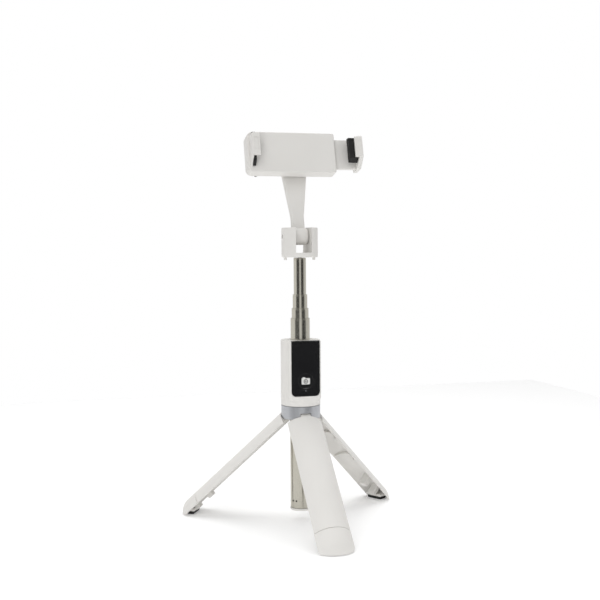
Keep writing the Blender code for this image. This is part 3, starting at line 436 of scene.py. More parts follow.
def row_tree():
    """Round ribs in a row."""
    tree, given = start_tree("rib_row", Count="Int", Start="Vector", Step="Vector",
                             Half_Length="Vector", Radius="Float")
    places = add(tree, "GeometryNodeMeshLine", Count=given["Count"],
                 Start_Location=given["Start"], Offset=given["Step"])
    far_end = maths(tree, "MULTIPLY", given["Half Length"], (-1, -1, -1), kind="VectorMath")
    spine = add(tree, "GeometryNodeCurvePrimitiveLine", Start=far_end, End=given["Half Length"])
    row = add(tree, "GeometryNodeInstanceOnPoints", Points=places,
              Instance=wire(tree, spine, given["Radius"], 14))
    return end_tree(tree, given, row)


def coil_tree():
    """Round wire wound on a helix round Z, from zero upwards."""
    tree, given = start_tree("wire_coil", Turns="Float", Radius="Float", Wire="Float",
                             Length="Float")
    helix = add(tree, "GeometryNodeCurveSpiral", Resolution=28, Rotations=given["Turns"],
                Start_Radius=given["Radius"], End_Radius=given["Radius"],
                Height=given["Length"])
    return end_tree(tree, given, wire(tree, helix, given["Wire"], 12))


def round_tree():
    """Copies of the input shape, spaced evenly on a circle round Z."""
    tree, given = start_tree("round_pattern", Count="Int")
    places = add(tree, "GeometryNodeMeshLine", Count=given["Count"],
                 Start_Location=(0.0, 0.0, 0.0), Offset=(0.0, 0.0, 0.0))
    index = tree.nodes.new("GeometryNodeInputIndex").outputs[0]
    share = maths(tree, "DIVIDE", index, given["Count"])
    turn = add(tree, "ShaderNodeCombineXYZ", Z=maths(tree, "MULTIPLY", share, math.tau))
    copies = add(tree, "GeometryNodeInstanceOnPoints", Points=places,
                 Instance=given["Geometry"], Rotation=turn)
    return end_tree(tree, given, copies)


RIB_ROW = row_tree()
WIRE_COIL = coil_tree()
ROUND_PATTERN = round_tree()


def repeat_round(obj, count):
    """Space copies of a shape evenly round Z."""
    mesh = obj.data
    bpy.data.objects.remove(obj, do_unlink=True)
    return grow("pattern", ROUND_PATTERN, mesh, Count=count)


print("trees for repeats ready")

# %% [markdown]
# ## Finishes
#
# Two effects are shared by many materials, so each is a node group. The
# first is the surface of a moulded part: broad, faint changes of tone, and a
# fine grain from the tool. The second is drawn metal: fine lines along one
# axis. A material places the group with its own values.

# %% Shared effect: moulded surface
def start_effect(name, label, kind):
    """A shader group with the values that every finish has, and one of its own."""
    group = bpy.data.node_groups.new(name, "ShaderNodeTree")
    inputs = {"Tone": "Color", "Shade": "Color", "Smooth": "Float", "Dull": "Float", label: kind}
    outputs = {"Color": "Color", "Roughness": "Float", "Height": "Float"}
    for way, sockets in (("INPUT", inputs), ("OUTPUT", outputs)):
        for title, sort in sockets.items():
            group.interface.new_socket(title, in_out=way, socket_type="NodeSocket" + sort)
    where = group.nodes.new("ShaderNodeTexCoord").outputs["Object"]
    return group, group.nodes.new("NodeGroupInput").outputs, where


def end_effect(group, *results):
    """Send colour, roughness and height out of the group."""
    out = group.nodes.new("NodeGroupOutput")
    for socket, result in zip(out.inputs, results):
        group.links.new(result, socket)
    return group


def mixed(tree, kind, factor, a, b):
    """A Mix node for colours or numbers."""
    mix = tree.nodes.new("ShaderNodeMix")
    mix.data_type = kind
    slots = {"FLOAT": (0, 2, 3, 0), "RGBA": (0, 6, 7, 2)}[kind]
    for index, value in zip(slots, (factor, a, b)):
        feed(tree, mix.inputs[index], value)
    return mix.outputs[slots[3]]


def noise(tree, vector, scale, detail):
    return add(tree, "ShaderNodeTexNoise", Vector=vector, Scale=scale,
               Detail=detail).outputs["Fac"]


def ramp(tree, value, low, high, to_low=0.0, to_high=1.0):
    return add(tree, "ShaderNodeMapRange", Value=value, From_Min=low, From_Max=high,
               To_Min=to_low, To_Max=to_high).outputs[0]


def moulded_effect():
    """Broad tone, tool grain and handling marks of a moulded part."""
    group, given, where = start_effect("moulded_surface", "Grain", "Float")
    patches = ramp(group, noise(group, where, 22.0, 2.0), 0.38, 0.72)
    marks = ramp(group, noise(group, where, 140.0, 5.0), 0.42, 0.68)
    return end_effect(group, mixed(group, "RGBA", patches, given["Tone"], given["Shade"]),
                      mixed(group, "FLOAT", marks, given["Smooth"], given["Dull"]),
                      noise(group, where, given["Grain"], 2.0))


MOULDED = moulded_effect()
print("moulded surface:", len(MOULDED.nodes), "nodes")

# %% [markdown]
# The metal stretches its noise, so the marks become long lines. A broad haze
# over them keeps the reflection from being too even.

# %% Shared effect: drawn or turned metal
def drawn_effect():
    """Lines left by drawing or turning; Grain is long across the lines."""
    group, given, where = start_effect("drawn_metal", "Grain", "Vector")
    scaled = maths(group, "MULTIPLY", where, given["Grain"], kind="VectorMath")
    lines = noise(group, scaled, 1.0, 4.0)
    haze = ramp(group, noise(group, where, 60.0, 4.0), 0.4, 0.75, 0.0, 0.35)
    fine = mixed(group, "FLOAT", ramp(group, lines, 0.35, 0.65), given["Smooth"], given["Dull"])
    return end_effect(group, mixed(group, "RGBA", ramp(group, lines, 0.3, 0.7), given["Tone"],
                                   given["Shade"]),
                      mixed(group, "FLOAT", haze, fine, given["Dull"]), lines)


DRAWN = drawn_effect()
print("drawn metal:", len(DRAWN.nodes), "nodes")

# %% [markdown]
# ### The materials
#
# Each finish is a Principled shader fed by one of the effects. Numbers that
# are the same all over, such as metallic or coat, are set on the shader
# itself. The bump is a fraction of a hundredth of a millimetre high, because
# real tool grain is.


def finish(name, slot, tone, shade, smooth, dull, grain, bump, effect=MOULDED, metallic=0.0,
           coat=0.0, specular=0.5):
    material = bpy.data.materials.new(name)
    material.use_nodes = True
    tree = material.node_tree
    made = tree.nodes.new("ShaderNodeGroup")
    made.node_tree = effect
    for socket, value in zip(made.inputs, ((*tone, 1), (*shade, 1), smooth, dull, grain)):
        socket.default_value = value
    relief = add(tree, "ShaderNodeBump", Strength=1.0, Distance=bump * MM,
                 Height=made.outputs["Height"])
    shader = tree.nodes["Principled BSDF"].inputs
    for label, value in {"Base Color": made.outputs["Color"], "Metallic": metallic,
                         "Roughness": made.outputs["Roughness"], "Normal": relief,
                         "Coat Weight": coat, "Coat Roughness": 0.04,
                         "Specular IOR Level": specular}.items():
        feed(tree, shader[label], value)
    return material


METAL = {"effect": DRAWN, "metallic": 1.0}
WHITE = finish("white_abs", "white_plastic", (0.775, 0.76, 0.732), (0.745, 0.73, 0.70),
               0.46, 0.58, 2600.0, 0.004, specular=0.3)
STEEL = finish("drawn_steel", "steel", (0.53, 0.51, 0.445), (0.47, 0.45, 0.39),
               0.19, 0.26, (3800.0, 3800.0, 12.0), 0.0001, **METAL)
TURNED_STEEL = finish("turned_steel", "steel", (0.60, 0.59, 0.56), (0.50, 0.49, 0.47),
                      0.18, 0.32, (300.0, 300.0, 5000.0), 0.002, **METAL)
SILVER = finish("satin_silver", "silver_metal", (0.50, 0.51, 0.53), (0.43, 0.44, 0.46),
                0.30, 0.42, (1500.0, 1500.0, 1500.0), 0.004, **METAL)
GLOSS = finish("gloss_black", "black_gloss", (0.010, 0.010, 0.011), (0.014, 0.014, 0.015),
               0.05, 0.13, 900.0, 0.0005, coat=0.6)
BLACK = finish("satin_black", "black_plastic", (0.022, 0.022, 0.022), (0.034, 0.033, 0.032),
               0.42, 0.58, 2200.0, 0.006)
RUBBER = finish("soft_rubber", "rubber", (0.016, 0.016, 0.016), (0.030, 0.029, 0.028),
                0.62, 0.85, 1500.0, 0.012, specular=0.3)
GREY = finish("grey_nylon", "grey_plastic", (0.42, 0.42, 0.41), (0.36, 0.36, 0.35),
              0.45, 0.6, 1800.0, 0.006)
PRINT = finish("white_print", "white_plastic", (0.72, 0.72, 0.70), (0.66, 0.66, 0.64),
               0.45, 0.6, 3000.0, 0.002)
LENS = finish("smoked_lens", "light_lens", (0.05, 0.05, 0.06), (0.09, 0.09, 0.10),
              0.08, 0.2, 1200.0, 0.0005, coat=0.5)
BOARD = finish("solder_mask", "circuit_green", (0.012, 0.085, 0.035), (0.02, 0.12, 0.05),
               0.3, 0.45, 700.0, 0.004)

# %% [markdown]
# ## Finishing a piece
#
# Each piece gets its name, its smooth shading, its material, the body that
# carries it and the CAD nodes that it stands for. One function does all of
# that, so no piece is forgotten.

# %% Register a piece
MADE = {}
SHARP_ANGLE = math.radians(32)


def weigh_normals(obj):
    """Let the large faces set the normals, so flats stay flat beside their rounds."""
    change = obj.modifiers.new("weigh", "WEIGHTED_NORMAL")
    change.mode = "FACE_AREA"
    change.weight = 90
    change.keep_sharp = True
    mesh = applied(obj)
    obj.modifiers.clear()
    mesh.name = obj.name
    obj.data = mesh


def finished(name, obj, body, material, *nodes, place=POLE):
    move(obj, place)
    obj.name = name
    obj.data.name = name
    obj.data.materials.clear()
    obj.data.materials.append(material)
    obj.data.shade_smooth()
    obj.data.set_sharp_from_angle(angle=SHARP_ANGLE)
    weigh_normals(obj)
    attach(obj, body)
    if nodes:
        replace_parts(obj, *nodes)
    MADE[name] = len(obj.data.polygons)
    return obj


print("pieces can be registered")

# %% [markdown]
# ## The telescopic pole
#
# Four steel tubes slide in one another, inside a fixed column. The top of
# each tube is rolled in a little, so that it grips the next one. That rolled
# rim catches the light as a bright line at each step, so the profile has a
# shallow groove, then a rounded shoulder. The lathe turns it.

# %% Steel tubes
TUBE_WALL = 0.5 * MM
ROLL = 0.22 * MM                     # how far the rim is rolled in
ROLL_HEIGHT = 1.1 * MM
GROOVE = 0.1 * MM                    # depth of the groove under the rolled rim
BUSH_WALL = 1.2 * MM
THIN = 0.2 * MM                      # rounding of thin edges


def rolled_tube(radius, bottom, top):
    bore = radius - TUBE_WALL
    neck = top - ROLL_HEIGHT
    wall = [(bore, bottom), (radius - GROOVE, bottom), (radius, bottom + GROOVE),
            (radius, neck), (radius - GROOVE, neck + 0.12 * MM),
            (radius - GROOVE, neck + 0.3 * MM), (radius, neck + 0.42 * MM)]
    wall += arc(radius - ROLL, top - ROLL, ROLL, 0, 90, 5)
    wall += [(bore - 0.02 * MM, top), (bore - 0.02 * MM, neck), (bore, neck - 0.3 * MM)]
    return turned(wall)


for k in range(4):
    section, node = f"section_{k + 1}", f"pole_section_{k + 1}"
    radius = half_width(node)
    low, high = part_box(node)
    finished(f"steel_tube_{k + 1}", rolled_tube(radius, low.z, high.z), section, STEEL, node)
    low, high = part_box(f"pole_bush_{k + 1}")
    spigot = radius - TUBE_WALL - GAP
    bore = spigot - BUSH_WALL
    flange = low.z + BUSH_WALL
    bush = turned(softened([(bore, low.z), (radius, low.z), (radius, flange),
                            (spigot, flange), (spigot, high.z), (bore, high.z)], THIN, 3), 64)
    finished(f"friction_bush_{k + 1}", bush, section, BLACK, f"pole_bush_{k + 1}")

COLUMN_RADIUS = half_width("column_tube")
BORE_RADIUS = COLUMN_RADIUS + GAP
DIMPLE_HEIGHT = 5.5 * MM
DIMPLE_RADIUS = 0.7 * MM
DIMPLE_TURNS = (-63, -43)            # degrees round the column
column = ring(COLUMN_RADIUS, COLUMN_RADIUS - TUBE_WALL, column_low.z, column_high.z, THIN, 128)
for turn in DIMPLE_TURNS:
    hole = bar(DIMPLE_RADIUS, 0.0, 2 * COLUMN_RADIUS, steps=24)
    aim = Matrix.Rotation(math.radians(turn - 90), 4, "Z")
    column = cut(column, shift(move(hole, aim), z=column_low.z + DIMPLE_HEIGHT))
finished("column_steel", column, "stand", STEEL, "column_tube")
print("tubes:", [name for name in MADE if "tube" in name])

# %% [markdown]
# The column is closed below by a moulded plug. Its underside is seen when the
# stick is picked up, so it has a recess with radial ribs, placed by the
# pattern tree.

# %% Column plug
low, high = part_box("column_end_plug")
flange_top = column_low.z - GAP
outer = half_width("column_end_plug")
spigot = COLUMN_RADIUS - TUBE_WALL - GAP
lip = low.z + 0.5 * MM
plug = turned([(0.0, lip + 0.3 * MM), (5.2 * MM, lip + 0.3 * MM), (5.4 * MM, low.z + 0.1 * MM),
               (5.6 * MM, low.z)] + arc(outer - 0.4 * MM, low.z + 0.4 * MM, 0.4 * MM, -90, 0, 5)
              + [(outer, flange_top), (spigot, flange_top), (spigot, high.z - 0.3 * MM),
                 (spigot - 0.3 * MM, high.z), (spigot - 1.4 * MM, high.z),
                 (spigot - 1.4 * MM, flange_top + 0.2 * MM), (0.0, flange_top + 0.2 * MM)],
              96, closed=False)
finished("column_plug", plug, "stand", WHITE, "column_end_plug")
rib = block(1.6 * MM, 5.3 * MM, -0.3 * MM, 0.3 * MM, low.z + 0.15 * MM, lip + 0.35 * MM)
finished("column_plug_ribs", repeat_round(rib, 6), "stand", WHITE)
print("plug:", MADE["column_plug"], "faces")

# %% [markdown]
# ## Hub
#
# The legs hinge in a grey core, and a thin metal ring covers it. Three
# notches let the hinge tabs through. The notches are cut from the turned ring,
# because a Boolean keeps the wall's thickness true at the cut.

# %% Hub ring, core and hinge pins
ring_low, ring_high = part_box("hub_ring")
RING_RADIUS = half_width("hub_ring")
hinge = POLE.inverted() @ Vector(JOINTS["leg_1_fold"]["pos_m"])
PIVOT_RADIUS = -hinge.y
PIVOT_HEIGHT = hinge.z
TAB_RADIUS = RING_RADIUS - PIVOT_RADIUS
TAB_WIDTH = 7.8 * MM
PIN_RADIUS = 1.0 * MM
RING_WALL = 0.7 * MM
PAST = 5.0 * MM                      # how far a cutter reaches past its target
NOTCH_TOP = PIVOT_HEIGHT + TAB_RADIUS + 0.25 * MM


def notch(depth, edge):
    """A slot with rounded upper corners, from below the ring up to the notch's top."""
    half = TAB_WIDTH / 2 + GAP
    shape = soft_box(-half, half, ring_low.z - PAST, NOTCH_TOP, edge)
    return flat([shape], depth, RING_RADIUS + PAST, 0.0, FRONTAL)


def around(obj, k):
    return move(obj, Matrix.Rotation(math.tau * k / 3, 4, "Z"))


metal = ring(RING_RADIUS, RING_RADIUS - RING_WALL, ring_low.z, ring_high.z, THIN, 160)
core = ring(RING_RADIUS - MM, BORE_RADIUS, ring_low.z + 0.05 * MM, ring_high.z - 0.05 * MM,
            0.3 * MM, 96)
for k in range(3):
    metal = cut(metal, around(notch(RING_RADIUS - 4 * MM, 0.5 * MM), k))
    core = cut(core, around(notch(BORE_RADIUS - 2 * MM, 0.4 * MM), k))
    low, high = local_box(f"leg_pin_{k + 1}", LEGS[k])
    hole = bar(PIN_RADIUS + GAP / 2, low.x - PAST, high.x + PAST, steps=24)
    core = cut(core, around(shift(hole, y=-PIVOT_RADIUS, z=PIVOT_HEIGHT), k))
    pin = bar(PIN_RADIUS, low.x, high.x, 0.25 * MM, 32)
    finished(f"hinge_pin_{k + 1}", pin, "stand", TURNED_STEEL, f"leg_pin_{k + 1}", place=LEGS[k])
finished("ring_metal", metal, "stand", SILVER, "hub_ring")
finished("core_nylon", core, "stand", GREY, "hub_core")
print("hub:", MADE["ring_metal"], "and", MADE["core_nylon"], "faces")

# %% [markdown]
# ## Housing
#
# The housing is round at its foot and square in front, where the remote sits.
# One section can't say that, so it is lofted: a stack of outlines in which
# the round form swells into the squared one over a few millimetres. That is
# the soft shoulder under the remote. Pockets are cut afterwards.

# %% Housing loft
housing_low, housing_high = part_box("housing_body")
remote_low, remote_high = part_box("remote_face")
HOUSING_RADIUS = half_width("housing_body")
HOUSING_TOP = housing_high.z
FRONT_DEPTH = POLE_Y - housing_low.y
REMOTE_HALF = half_width("remote_face")
REMOTE_CORNER = 3.2 * MM
POCKET_WALL = 1.3 * MM               # beside the remote
FRONT_HALF = REMOTE_HALF + GAP + POCKET_WALL
FRONT_CORNER = 2.6 * MM
SHOULDER_LOW = 1.6 * MM              # the front begins to swell here
SHOULDER_HIGH = 6.4 * MM
BLEND = 0.5 * MM                     # softness where round and square meet
FLAT_FRONT = 0.3                     # radians each side that stay truly flat


def front_reach(angle):
    """Distance to the squared front along a direction from -Y, corner rounded."""
    side = FRONT_HALF - FRONT_CORNER
    depth = FRONT_DEPTH - FRONT_CORNER
    sine = abs(math.sin(angle))
    cosine = math.cos(angle)
    if cosine <= 0.01:
        return 0.0
    reach = FRONT_DEPTH / cosine
    if reach * sine <= side:
        return reach
    # Distance along the ray to the corner's circle, else to the side.
    along = side * sine + depth * cosine
    off = side * side + depth * depth - along * along
    room = FRONT_CORNER * FRONT_CORNER - off
    if room > 0 and (along + math.sqrt(room)) * cosine > depth:
        return along + math.sqrt(room)
    return FRONT_HALF / sine


def smooth(t):
    t = min(max(t, 0.0), 1.0)
    return t * t * (3 - 2 * t)


def smooth_max(a, b, softness):
    """The larger of two numbers, rounded where they are close."""
    gap = max(softness - abs(a - b), 0.0) / softness
    return max(a, b) + gap * gap * softness / 4


def housing_outline(height, inset, steps=240):
    swell = smooth((height - SHOULDER_LOW) / (SHOULDER_HIGH - SHOULDER_LOW))
    points = []
    for i in range(steps):
        angle = math.tau * i / steps
        turn = math.atan2(math.sin(angle), math.cos(angle))
        square = front_reach(turn)
        full = smooth_max(HOUSING_RADIUS, square, BLEND) if square > 0 else HOUSING_RADIUS
        if abs(turn) < FLAT_FRONT:
            full = min(full, max(square, HOUSING_RADIUS))
        reach = HOUSING_RADIUS + (full - HOUSING_RADIUS) * swell - inset
        points.append((reach * math.sin(angle), -reach * math.cos(angle)))
    return points


def lofted(stations):
    """Skin a stack of outlines with equal point counts; stations are (outline, z)."""
    work = bmesh.new()
    rows = []
    for loop, z in stations:
        rows.append([work.verts.new((x, y, z)) for x, y in loop])
    count = len(rows[0])
    for lower, upper in zip(rows, rows[1:]):
        for i in range(count):
            j = (i + 1) % count
            work.faces.new((lower[i], lower[j], upper[j], upper[i]))
    work.faces.new(rows[0][::-1])
    work.faces.new(rows[-1])
    mesh = bpy.data.meshes.new("loft")
    work.to_mesh(mesh)
    work.free()
    return link("loft", mesh)


height = HOUSING_TOP - housing_low.z
RIM = 0.7 * MM
levels = [(0.0, 0.25 * MM), (0.12 * MM, 0.08 * MM), (0.3 * MM, 0.0)]
levels += [(SHOULDER_LOW + (SHOULDER_HIGH - SHOULDER_LOW) * i / 14, 0.0) for i in range(15)]
levels += [(height - RIM + RIM * math.sin(t), RIM - RIM * math.cos(t))
           for t in (math.radians(15 * i) for i in range(7))]
stations = [(housing_outline(z, inset), housing_low.z + z) for z, inset in levels]
housing = lofted(stations)
print("housing loft:", len(housing.data.polygons), "faces,", round(height / MM, 1), "mm tall")

# %% [markdown]
# The housing is then hollowed like a real moulding: a bore for the column, a
# seat for the collar, a hollow behind, and the pocket that the remote slides
# into from above.

# %% Housing pockets
collar_low, collar_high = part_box("housing_collar")
COLLAR_RADIUS = half_width("housing_collar")
case_low, case_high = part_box("remote_case")
REMOTE_BACK = POLE_Y - case_high.y
REMOTE_FRONT = POLE_Y - remote_low.y
half = REMOTE_HALF + GAP
pocket = soft_box(-half, half, remote_low.z - GAP, HOUSING_TOP + 5 * MM, REMOTE_CORNER + GAP, 8)
pocket = flat([pocket], REMOTE_BACK - GAP, REMOTE_BACK + 10 * MM, 0.0, FRONTAL)
CRISP = 0.01 * MM                    # rounding of a cutter whose rim must stay sharp
bore = stud(BORE_RADIUS, housing_low.z - MM, HOUSING_TOP + MM, CRISP, 96)
seat = stud(COLLAR_RADIUS + GAP, collar_low.z - GAP, HOUSING_TOP + MM, CRISP, 96)
WALL = 1.6 * MM
hollow = arc(0, 0, HOUSING_RADIUS - WALL, -10, 190, 48)
hollow += arc(0, 0, BORE_RADIUS + WALL, 190, -10, 48)
hollow = flat([hollow], housing_low.z - MM, HOUSING_TOP - 8 * MM)
housing = cut(housing, bore, seat, hollow, pocket)
finished("housing_shell", housing, "stand", WHITE, "housing_body")
collar = ring(COLLAR_RADIUS, half_width("pole_section_1") + GAP, collar_low.z, collar_high.z,
              0.45 * MM)
finished("collar_ring", collar, "stand", WHITE, "housing_collar")
print("housing:", MADE["housing_shell"], "faces")

# %% [markdown]
# ## Remote
#
# A thin black case with a glossy face. The face has a fine groove that frames
# it, a round button with a printed camera, and a small indicator lens. The
# picture is its own thin piece, so its edge stays crisp.

# %% Remote face, button and case
button_low, button_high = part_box("remote_button")
BUTTON_RADIUS = half_width("remote_button")
BUTTON_Z = (button_high.z + button_low.z) / 2
light_low, light_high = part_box("remote_light")
LIGHT_Z = (light_high.z + light_low.z) / 2
LIGHT_RADIUS = half_width("remote_light")
FACE_BACK = POLE_Y - remote_high.y
FACE_EDGE = 0.12 * MM                # rounding of the face and depth of its groove
TOP_CORNER = 0.8 * MM


def remote_outline(inset, corner):
    """Rounder corners below than above."""
    left = -REMOTE_HALF + inset
    low = remote_low.z + inset
    top = HOUSING_TOP - inset
    lower = arc(left + corner, low + corner, corner, 180, 270, 10)
    lower += arc(-left - corner, low + corner, corner, 270, 360, 10)
    upper = arc(-left - TOP_CORNER, top - TOP_CORNER, TOP_CORNER, 0, 90, 6)
    upper += arc(left + TOP_CORNER, top - TOP_CORNER, TOP_CORNER, 90, 180, 6)
    return lower + upper


holes = [circle(BUTTON_Z, BUTTON_RADIUS + GAP / 2, 120),
         circle(LIGHT_Z, LIGHT_RADIUS + GAP / 3, 24)]
face = flat([remote_outline(0.0, REMOTE_CORNER)] + holes, FACE_BACK, REMOTE_FRONT, FACE_EDGE,
            FRONTAL)
groove = flat([remote_outline(1.5 * MM, 2.2 * MM), remote_outline(1.75 * MM, 2.0 * MM)],
              REMOTE_FRONT - FACE_EDGE, REMOTE_FRONT + MM, 0.0, FRONTAL)
finished("remote_gloss_face", cut(face, groove), "remote", GLOSS, "remote_face")

cap = flat([circle(BUTTON_Z, BUTTON_RADIUS, 120)], FACE_BACK, REMOTE_FRONT, FACE_EDGE, FRONTAL)
finished("shutter_cap", cap, "shutter_button", GLOSS, "remote_button")
lens = stud(LIGHT_RADIUS, 0.0, REMOTE_FRONT - FACE_BACK, THIN, 32)
move(lens, Matrix.Translation((0, -FACE_BACK, LIGHT_Z)) @ FRONTAL)
finished("indicator_lens", lens, "remote", LENS, "remote_light")

CASE_WALL = 0.9 * MM
case_front = POLE_Y - case_low.y
case = flat([remote_outline(0.0, REMOTE_CORNER)], REMOTE_BACK, case_front, 0.2 * MM, FRONTAL)
tray = flat([remote_outline(CASE_WALL, REMOTE_CORNER - CASE_WALL)], REMOTE_BACK + 0.5 * MM,
            case_front + MM, 0.0, FRONTAL)
finished("remote_tray", cut(case, tray), "remote", BLACK, "remote_case")
print("remote:", MADE["remote_gloss_face"], "faces on the front")

# %% [markdown]
# The printed camera is two flat shapes: a body with a hump and a round
# opening, and a ring for the lens inside it.

# %% Camera picture
PICTURE_HALF_WIDTH = 3.2 * MM
PICTURE_HALF_HEIGHT = 2.3 * MM
HUMP = 0.8 * MM
PRINT_LOW = REMOTE_FRONT - 0.01 * MM
PRINT_THICKNESS = 0.03 * MM
top = BUTTON_Z + PICTURE_HALF_HEIGHT
body = rectangle(-PICTURE_HALF_WIDTH, PICTURE_HALF_WIDTH, BUTTON_Z - PICTURE_HALF_HEIGHT, top)
body[3:3] = [(-0.2 * MM, top), (-0.7 * MM, top + HUMP), (-2.2 * MM, top + HUMP), (-2.6 * MM, top)]
middle = BUTTON_Z - 0.1 * MM
marks = {"camera_picture": [softened(body, 0.55 * MM, 4), circle(middle, 1.6 * MM, 36)],
         "camera_picture_lens": [circle(middle, 1.1 * MM, 36), circle(middle, 0.5 * MM, 18)]}
for name, loops in marks.items():
    mark = flat(loops, PRINT_LOW, PRINT_LOW + PRINT_THICKNESS, 0.0, FRONTAL)
    finished(name, mark, "shutter_button", PRINT)
print("picture:", MADE["camera_picture"], "faces")

# %% [markdown]
# ## Legs
#
# Each leg is a channel: a third of a tube, so that three of them close round
# the column. All three are the same moulding, so it is built once, upright
# with its origin on the pivot, and copied to each hinge.

# %% Leg channel
leg_low = local_box("leg_channel_1", LEGS[0])[0]
LEG_RADIUS = PIVOT_RADIUS - leg_low.y
LEG_WALL = 1.5 * MM
SECTOR = 59.4                        # half of the channel's angle, in degrees
SEAM = -leg_low.z
LEG_TOP = ring_low.z - GAP - PIVOT_HEIGHT
LUG_RADIUS = 4.2 * MM                # how near the column's axis the lugs reach
LUG_FROM_SEAM = 7.0 * MM
RIB = 2.0 * MM
RIB_PLACES = (26 * MM, 55 * MM)      # down from the pivot
RIB_HALF = 0.6 * MM
FLOOR_REACH = 160 * MM               # longer than the leg
OPEN = Matrix.Rotation(LEG_OPEN, 4, "X")


def channel_outline(outside, inside, outer_trim=0.0, inner_trim=0.0, steps=44):
    """A stretch of tube wall; the trims shorten it at both ends, in degrees."""
    outer = SECTOR - outer_trim
    inner = SECTOR - inner_trim
    return (arc(0, PIVOT_RADIUS, outside, -90 - outer, -90 + outer, steps)
            + arc(0, PIVOT_RADIUS, inside, -90 + inner, -90 - inner, steps))


def lug(distance):
    """A locating lug that reaches in past the channel's edges."""
    inner = PIVOT_RADIUS - LUG_RADIUS
    outer = PIVOT_RADIUS - LEG_RADIUS + LEG_WALL / 2
    shape = soft_box(outer, inner, -distance - 2.25 * MM, -distance + 2.25 * MM, 0.5 * MM)
    return flat([shape], -3 * MM, 3 * MM, 0.35 * MM, SIDE)


shell = flat([softened(channel_outline(LEG_RADIUS, LEG_RADIUS - LEG_WALL), 0.45 * MM)],
             -SEAM, LEG_TOP, 0.12 * MM)
collar_cut = stud(RING_RADIUS + GAP, ring_low.z - GAP - PIVOT_HEIGHT,
                  ring_high.z - PIVOT_HEIGHT, 0.02 * MM, 160)
shift(collar_cut, y=PIVOT_RADIUS)
shell = cut(shell, move(collar_cut, OPEN))
for distance in RIB_PLACES:
    rib = channel_outline(LEG_RADIUS - LEG_WALL / 2, LEG_RADIUS - LEG_WALL - RIB, 4, 8, 32)
    shell = join(shell, flat([softened(rib, 0.5 * MM)], -distance - RIB_HALF,
                             -distance + RIB_HALF, 0.25 * MM))
shell = join(shell, lug(SEAM - LUG_FROM_SEAM))
EYE_RADIUS = 2.6 * MM
WEB = 8.0 * MM
tab = [(-TAB_RADIUS, -WEB), (-TAB_RADIUS, 0)] + arc(0, 0, TAB_RADIUS, 170, 85, 14)
tab += arc(0, 0, EYE_RADIUS, 60, 0, 10) + [(EYE_RADIUS, -3 * MM), (-TAB_RADIUS + LEG_WALL, -WEB)]
eye = circle(0, PIN_RADIUS + GAP / 2, 24)
tab = flat([tab, eye], -TAB_WIDTH / 2, TAB_WIDTH / 2, 0.3 * MM, SIDE)
shell = join(shell, tab)
print("channel:", len(shell.data.polygons), "faces")

# %% [markdown]
# The foot cap closes the channel's end. It is a turned dome, of which the
# leg's sector is kept, and it is cut flat where it would meet the floor. A
# dark rubber pad fills the flat; its dark colour is partly painted shade,
# standing in for the shadow in the foot's hollow end and along its bottom.

# %% Foot cap and pad
DOME_RADIUS = 11.0 * MM
DOME_START = SEAM + 10.0 * MM
FOOT_WALL = 1.6 * MM
CAP_TOP = -local_box("foot_cap_1", LEGS[0])[1].z
PAD_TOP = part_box("foot_pad_1")[1].z
FLOOR = -PIVOT_HEIGHT
REACH = POLE_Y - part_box("foot_cap_1")[0].y


def dome(inset):
    side = [(LEG_RADIUS - inset, -CAP_TOP)]
    return side + arc(LEG_RADIUS - DOME_RADIUS, -DOME_START, DOME_RADIUS - inset, 0, -84, 24)


def dome_solid(inset):
    side = dome(inset)
    profile = [(0.0, side[0][1])] + side + [(0.0, side[-1][1])]
    return shift(turned(profile[::-1], 128, closed=False), y=PIVOT_RADIUS)


def floor_slab(low, high, near, far, half, edge=0.0):
    """A slab given on the standing leg, carried into the upright leg's frame."""
    slab = flat([rectangle(-half, half, PIVOT_RADIUS - far, PIVOT_RADIUS - near)],
                low + FLOOR, high + FLOOR, edge)
    return move(slab, OPEN)


def sector():
    """The wedge that one leg may fill, below its pivot."""
    loop = arc(0, PIVOT_RADIUS, 2 * LEG_RADIUS, -90 - SECTOR, -90 + SECTOR, 24)
    return flat([[(0.0, PIVOT_RADIUS)] + loop], -FLOOR_REACH, 0.0)


outside = dome(0.0)
outside[:1] = [(LEG_RADIUS - 0.12 * MM, -CAP_TOP), (LEG_RADIUS, -CAP_TOP - 0.12 * MM)]
cup = shift(turned(outside + dome(FOOT_WALL)[::-1], 160), y=PIVOT_RADIUS)
cup = common(cup, sector())
SEAT_LOW = PAD_TOP + GAP
seat = floor_slab(SEAT_LOW, SEAT_LOW + FOOT_WALL, REACH - 11 * MM, REACH + 5 * MM, 7.5 * MM)
seat = common(seat, dome_solid(FOOT_WALL / 2))
cup = join(cup, seat, lug(SEAM + LUG_FROM_SEAM))
FOOT_LIFT = 0.4 * MM
cup = cut(cup, floor_slab(-40 * MM, FOOT_LIFT, REACH - 60 * MM, REACH + 60 * MM, 40 * MM))
# The pad is a real rubber pad, and its darkness is also painted shade for the foot's hollow end.
pad = floor_slab(0.0, PAD_TOP, REACH - 10 * MM, REACH + 5 * MM, 6.5 * MM, 0.2 * MM)
pad = common(pad, dome_solid(FOOT_WALL + GAP))
pad = common(pad, sector())
TREAD = 0.35 * MM                    # depth of the grooves in the pad
TREAD_STEP = 1.7 * MM
TREAD_HALF = 0.25 * MM
for i in range(5):
    line = REACH - 9 * MM + i * TREAD_STEP
    pad = cut(pad, floor_slab(-MM, TREAD, line - TREAD_HALF, line + TREAD_HALF, 10 * MM))
print("foot:", len(cup.data.polygons), "and", len(pad.data.polygons), "faces")
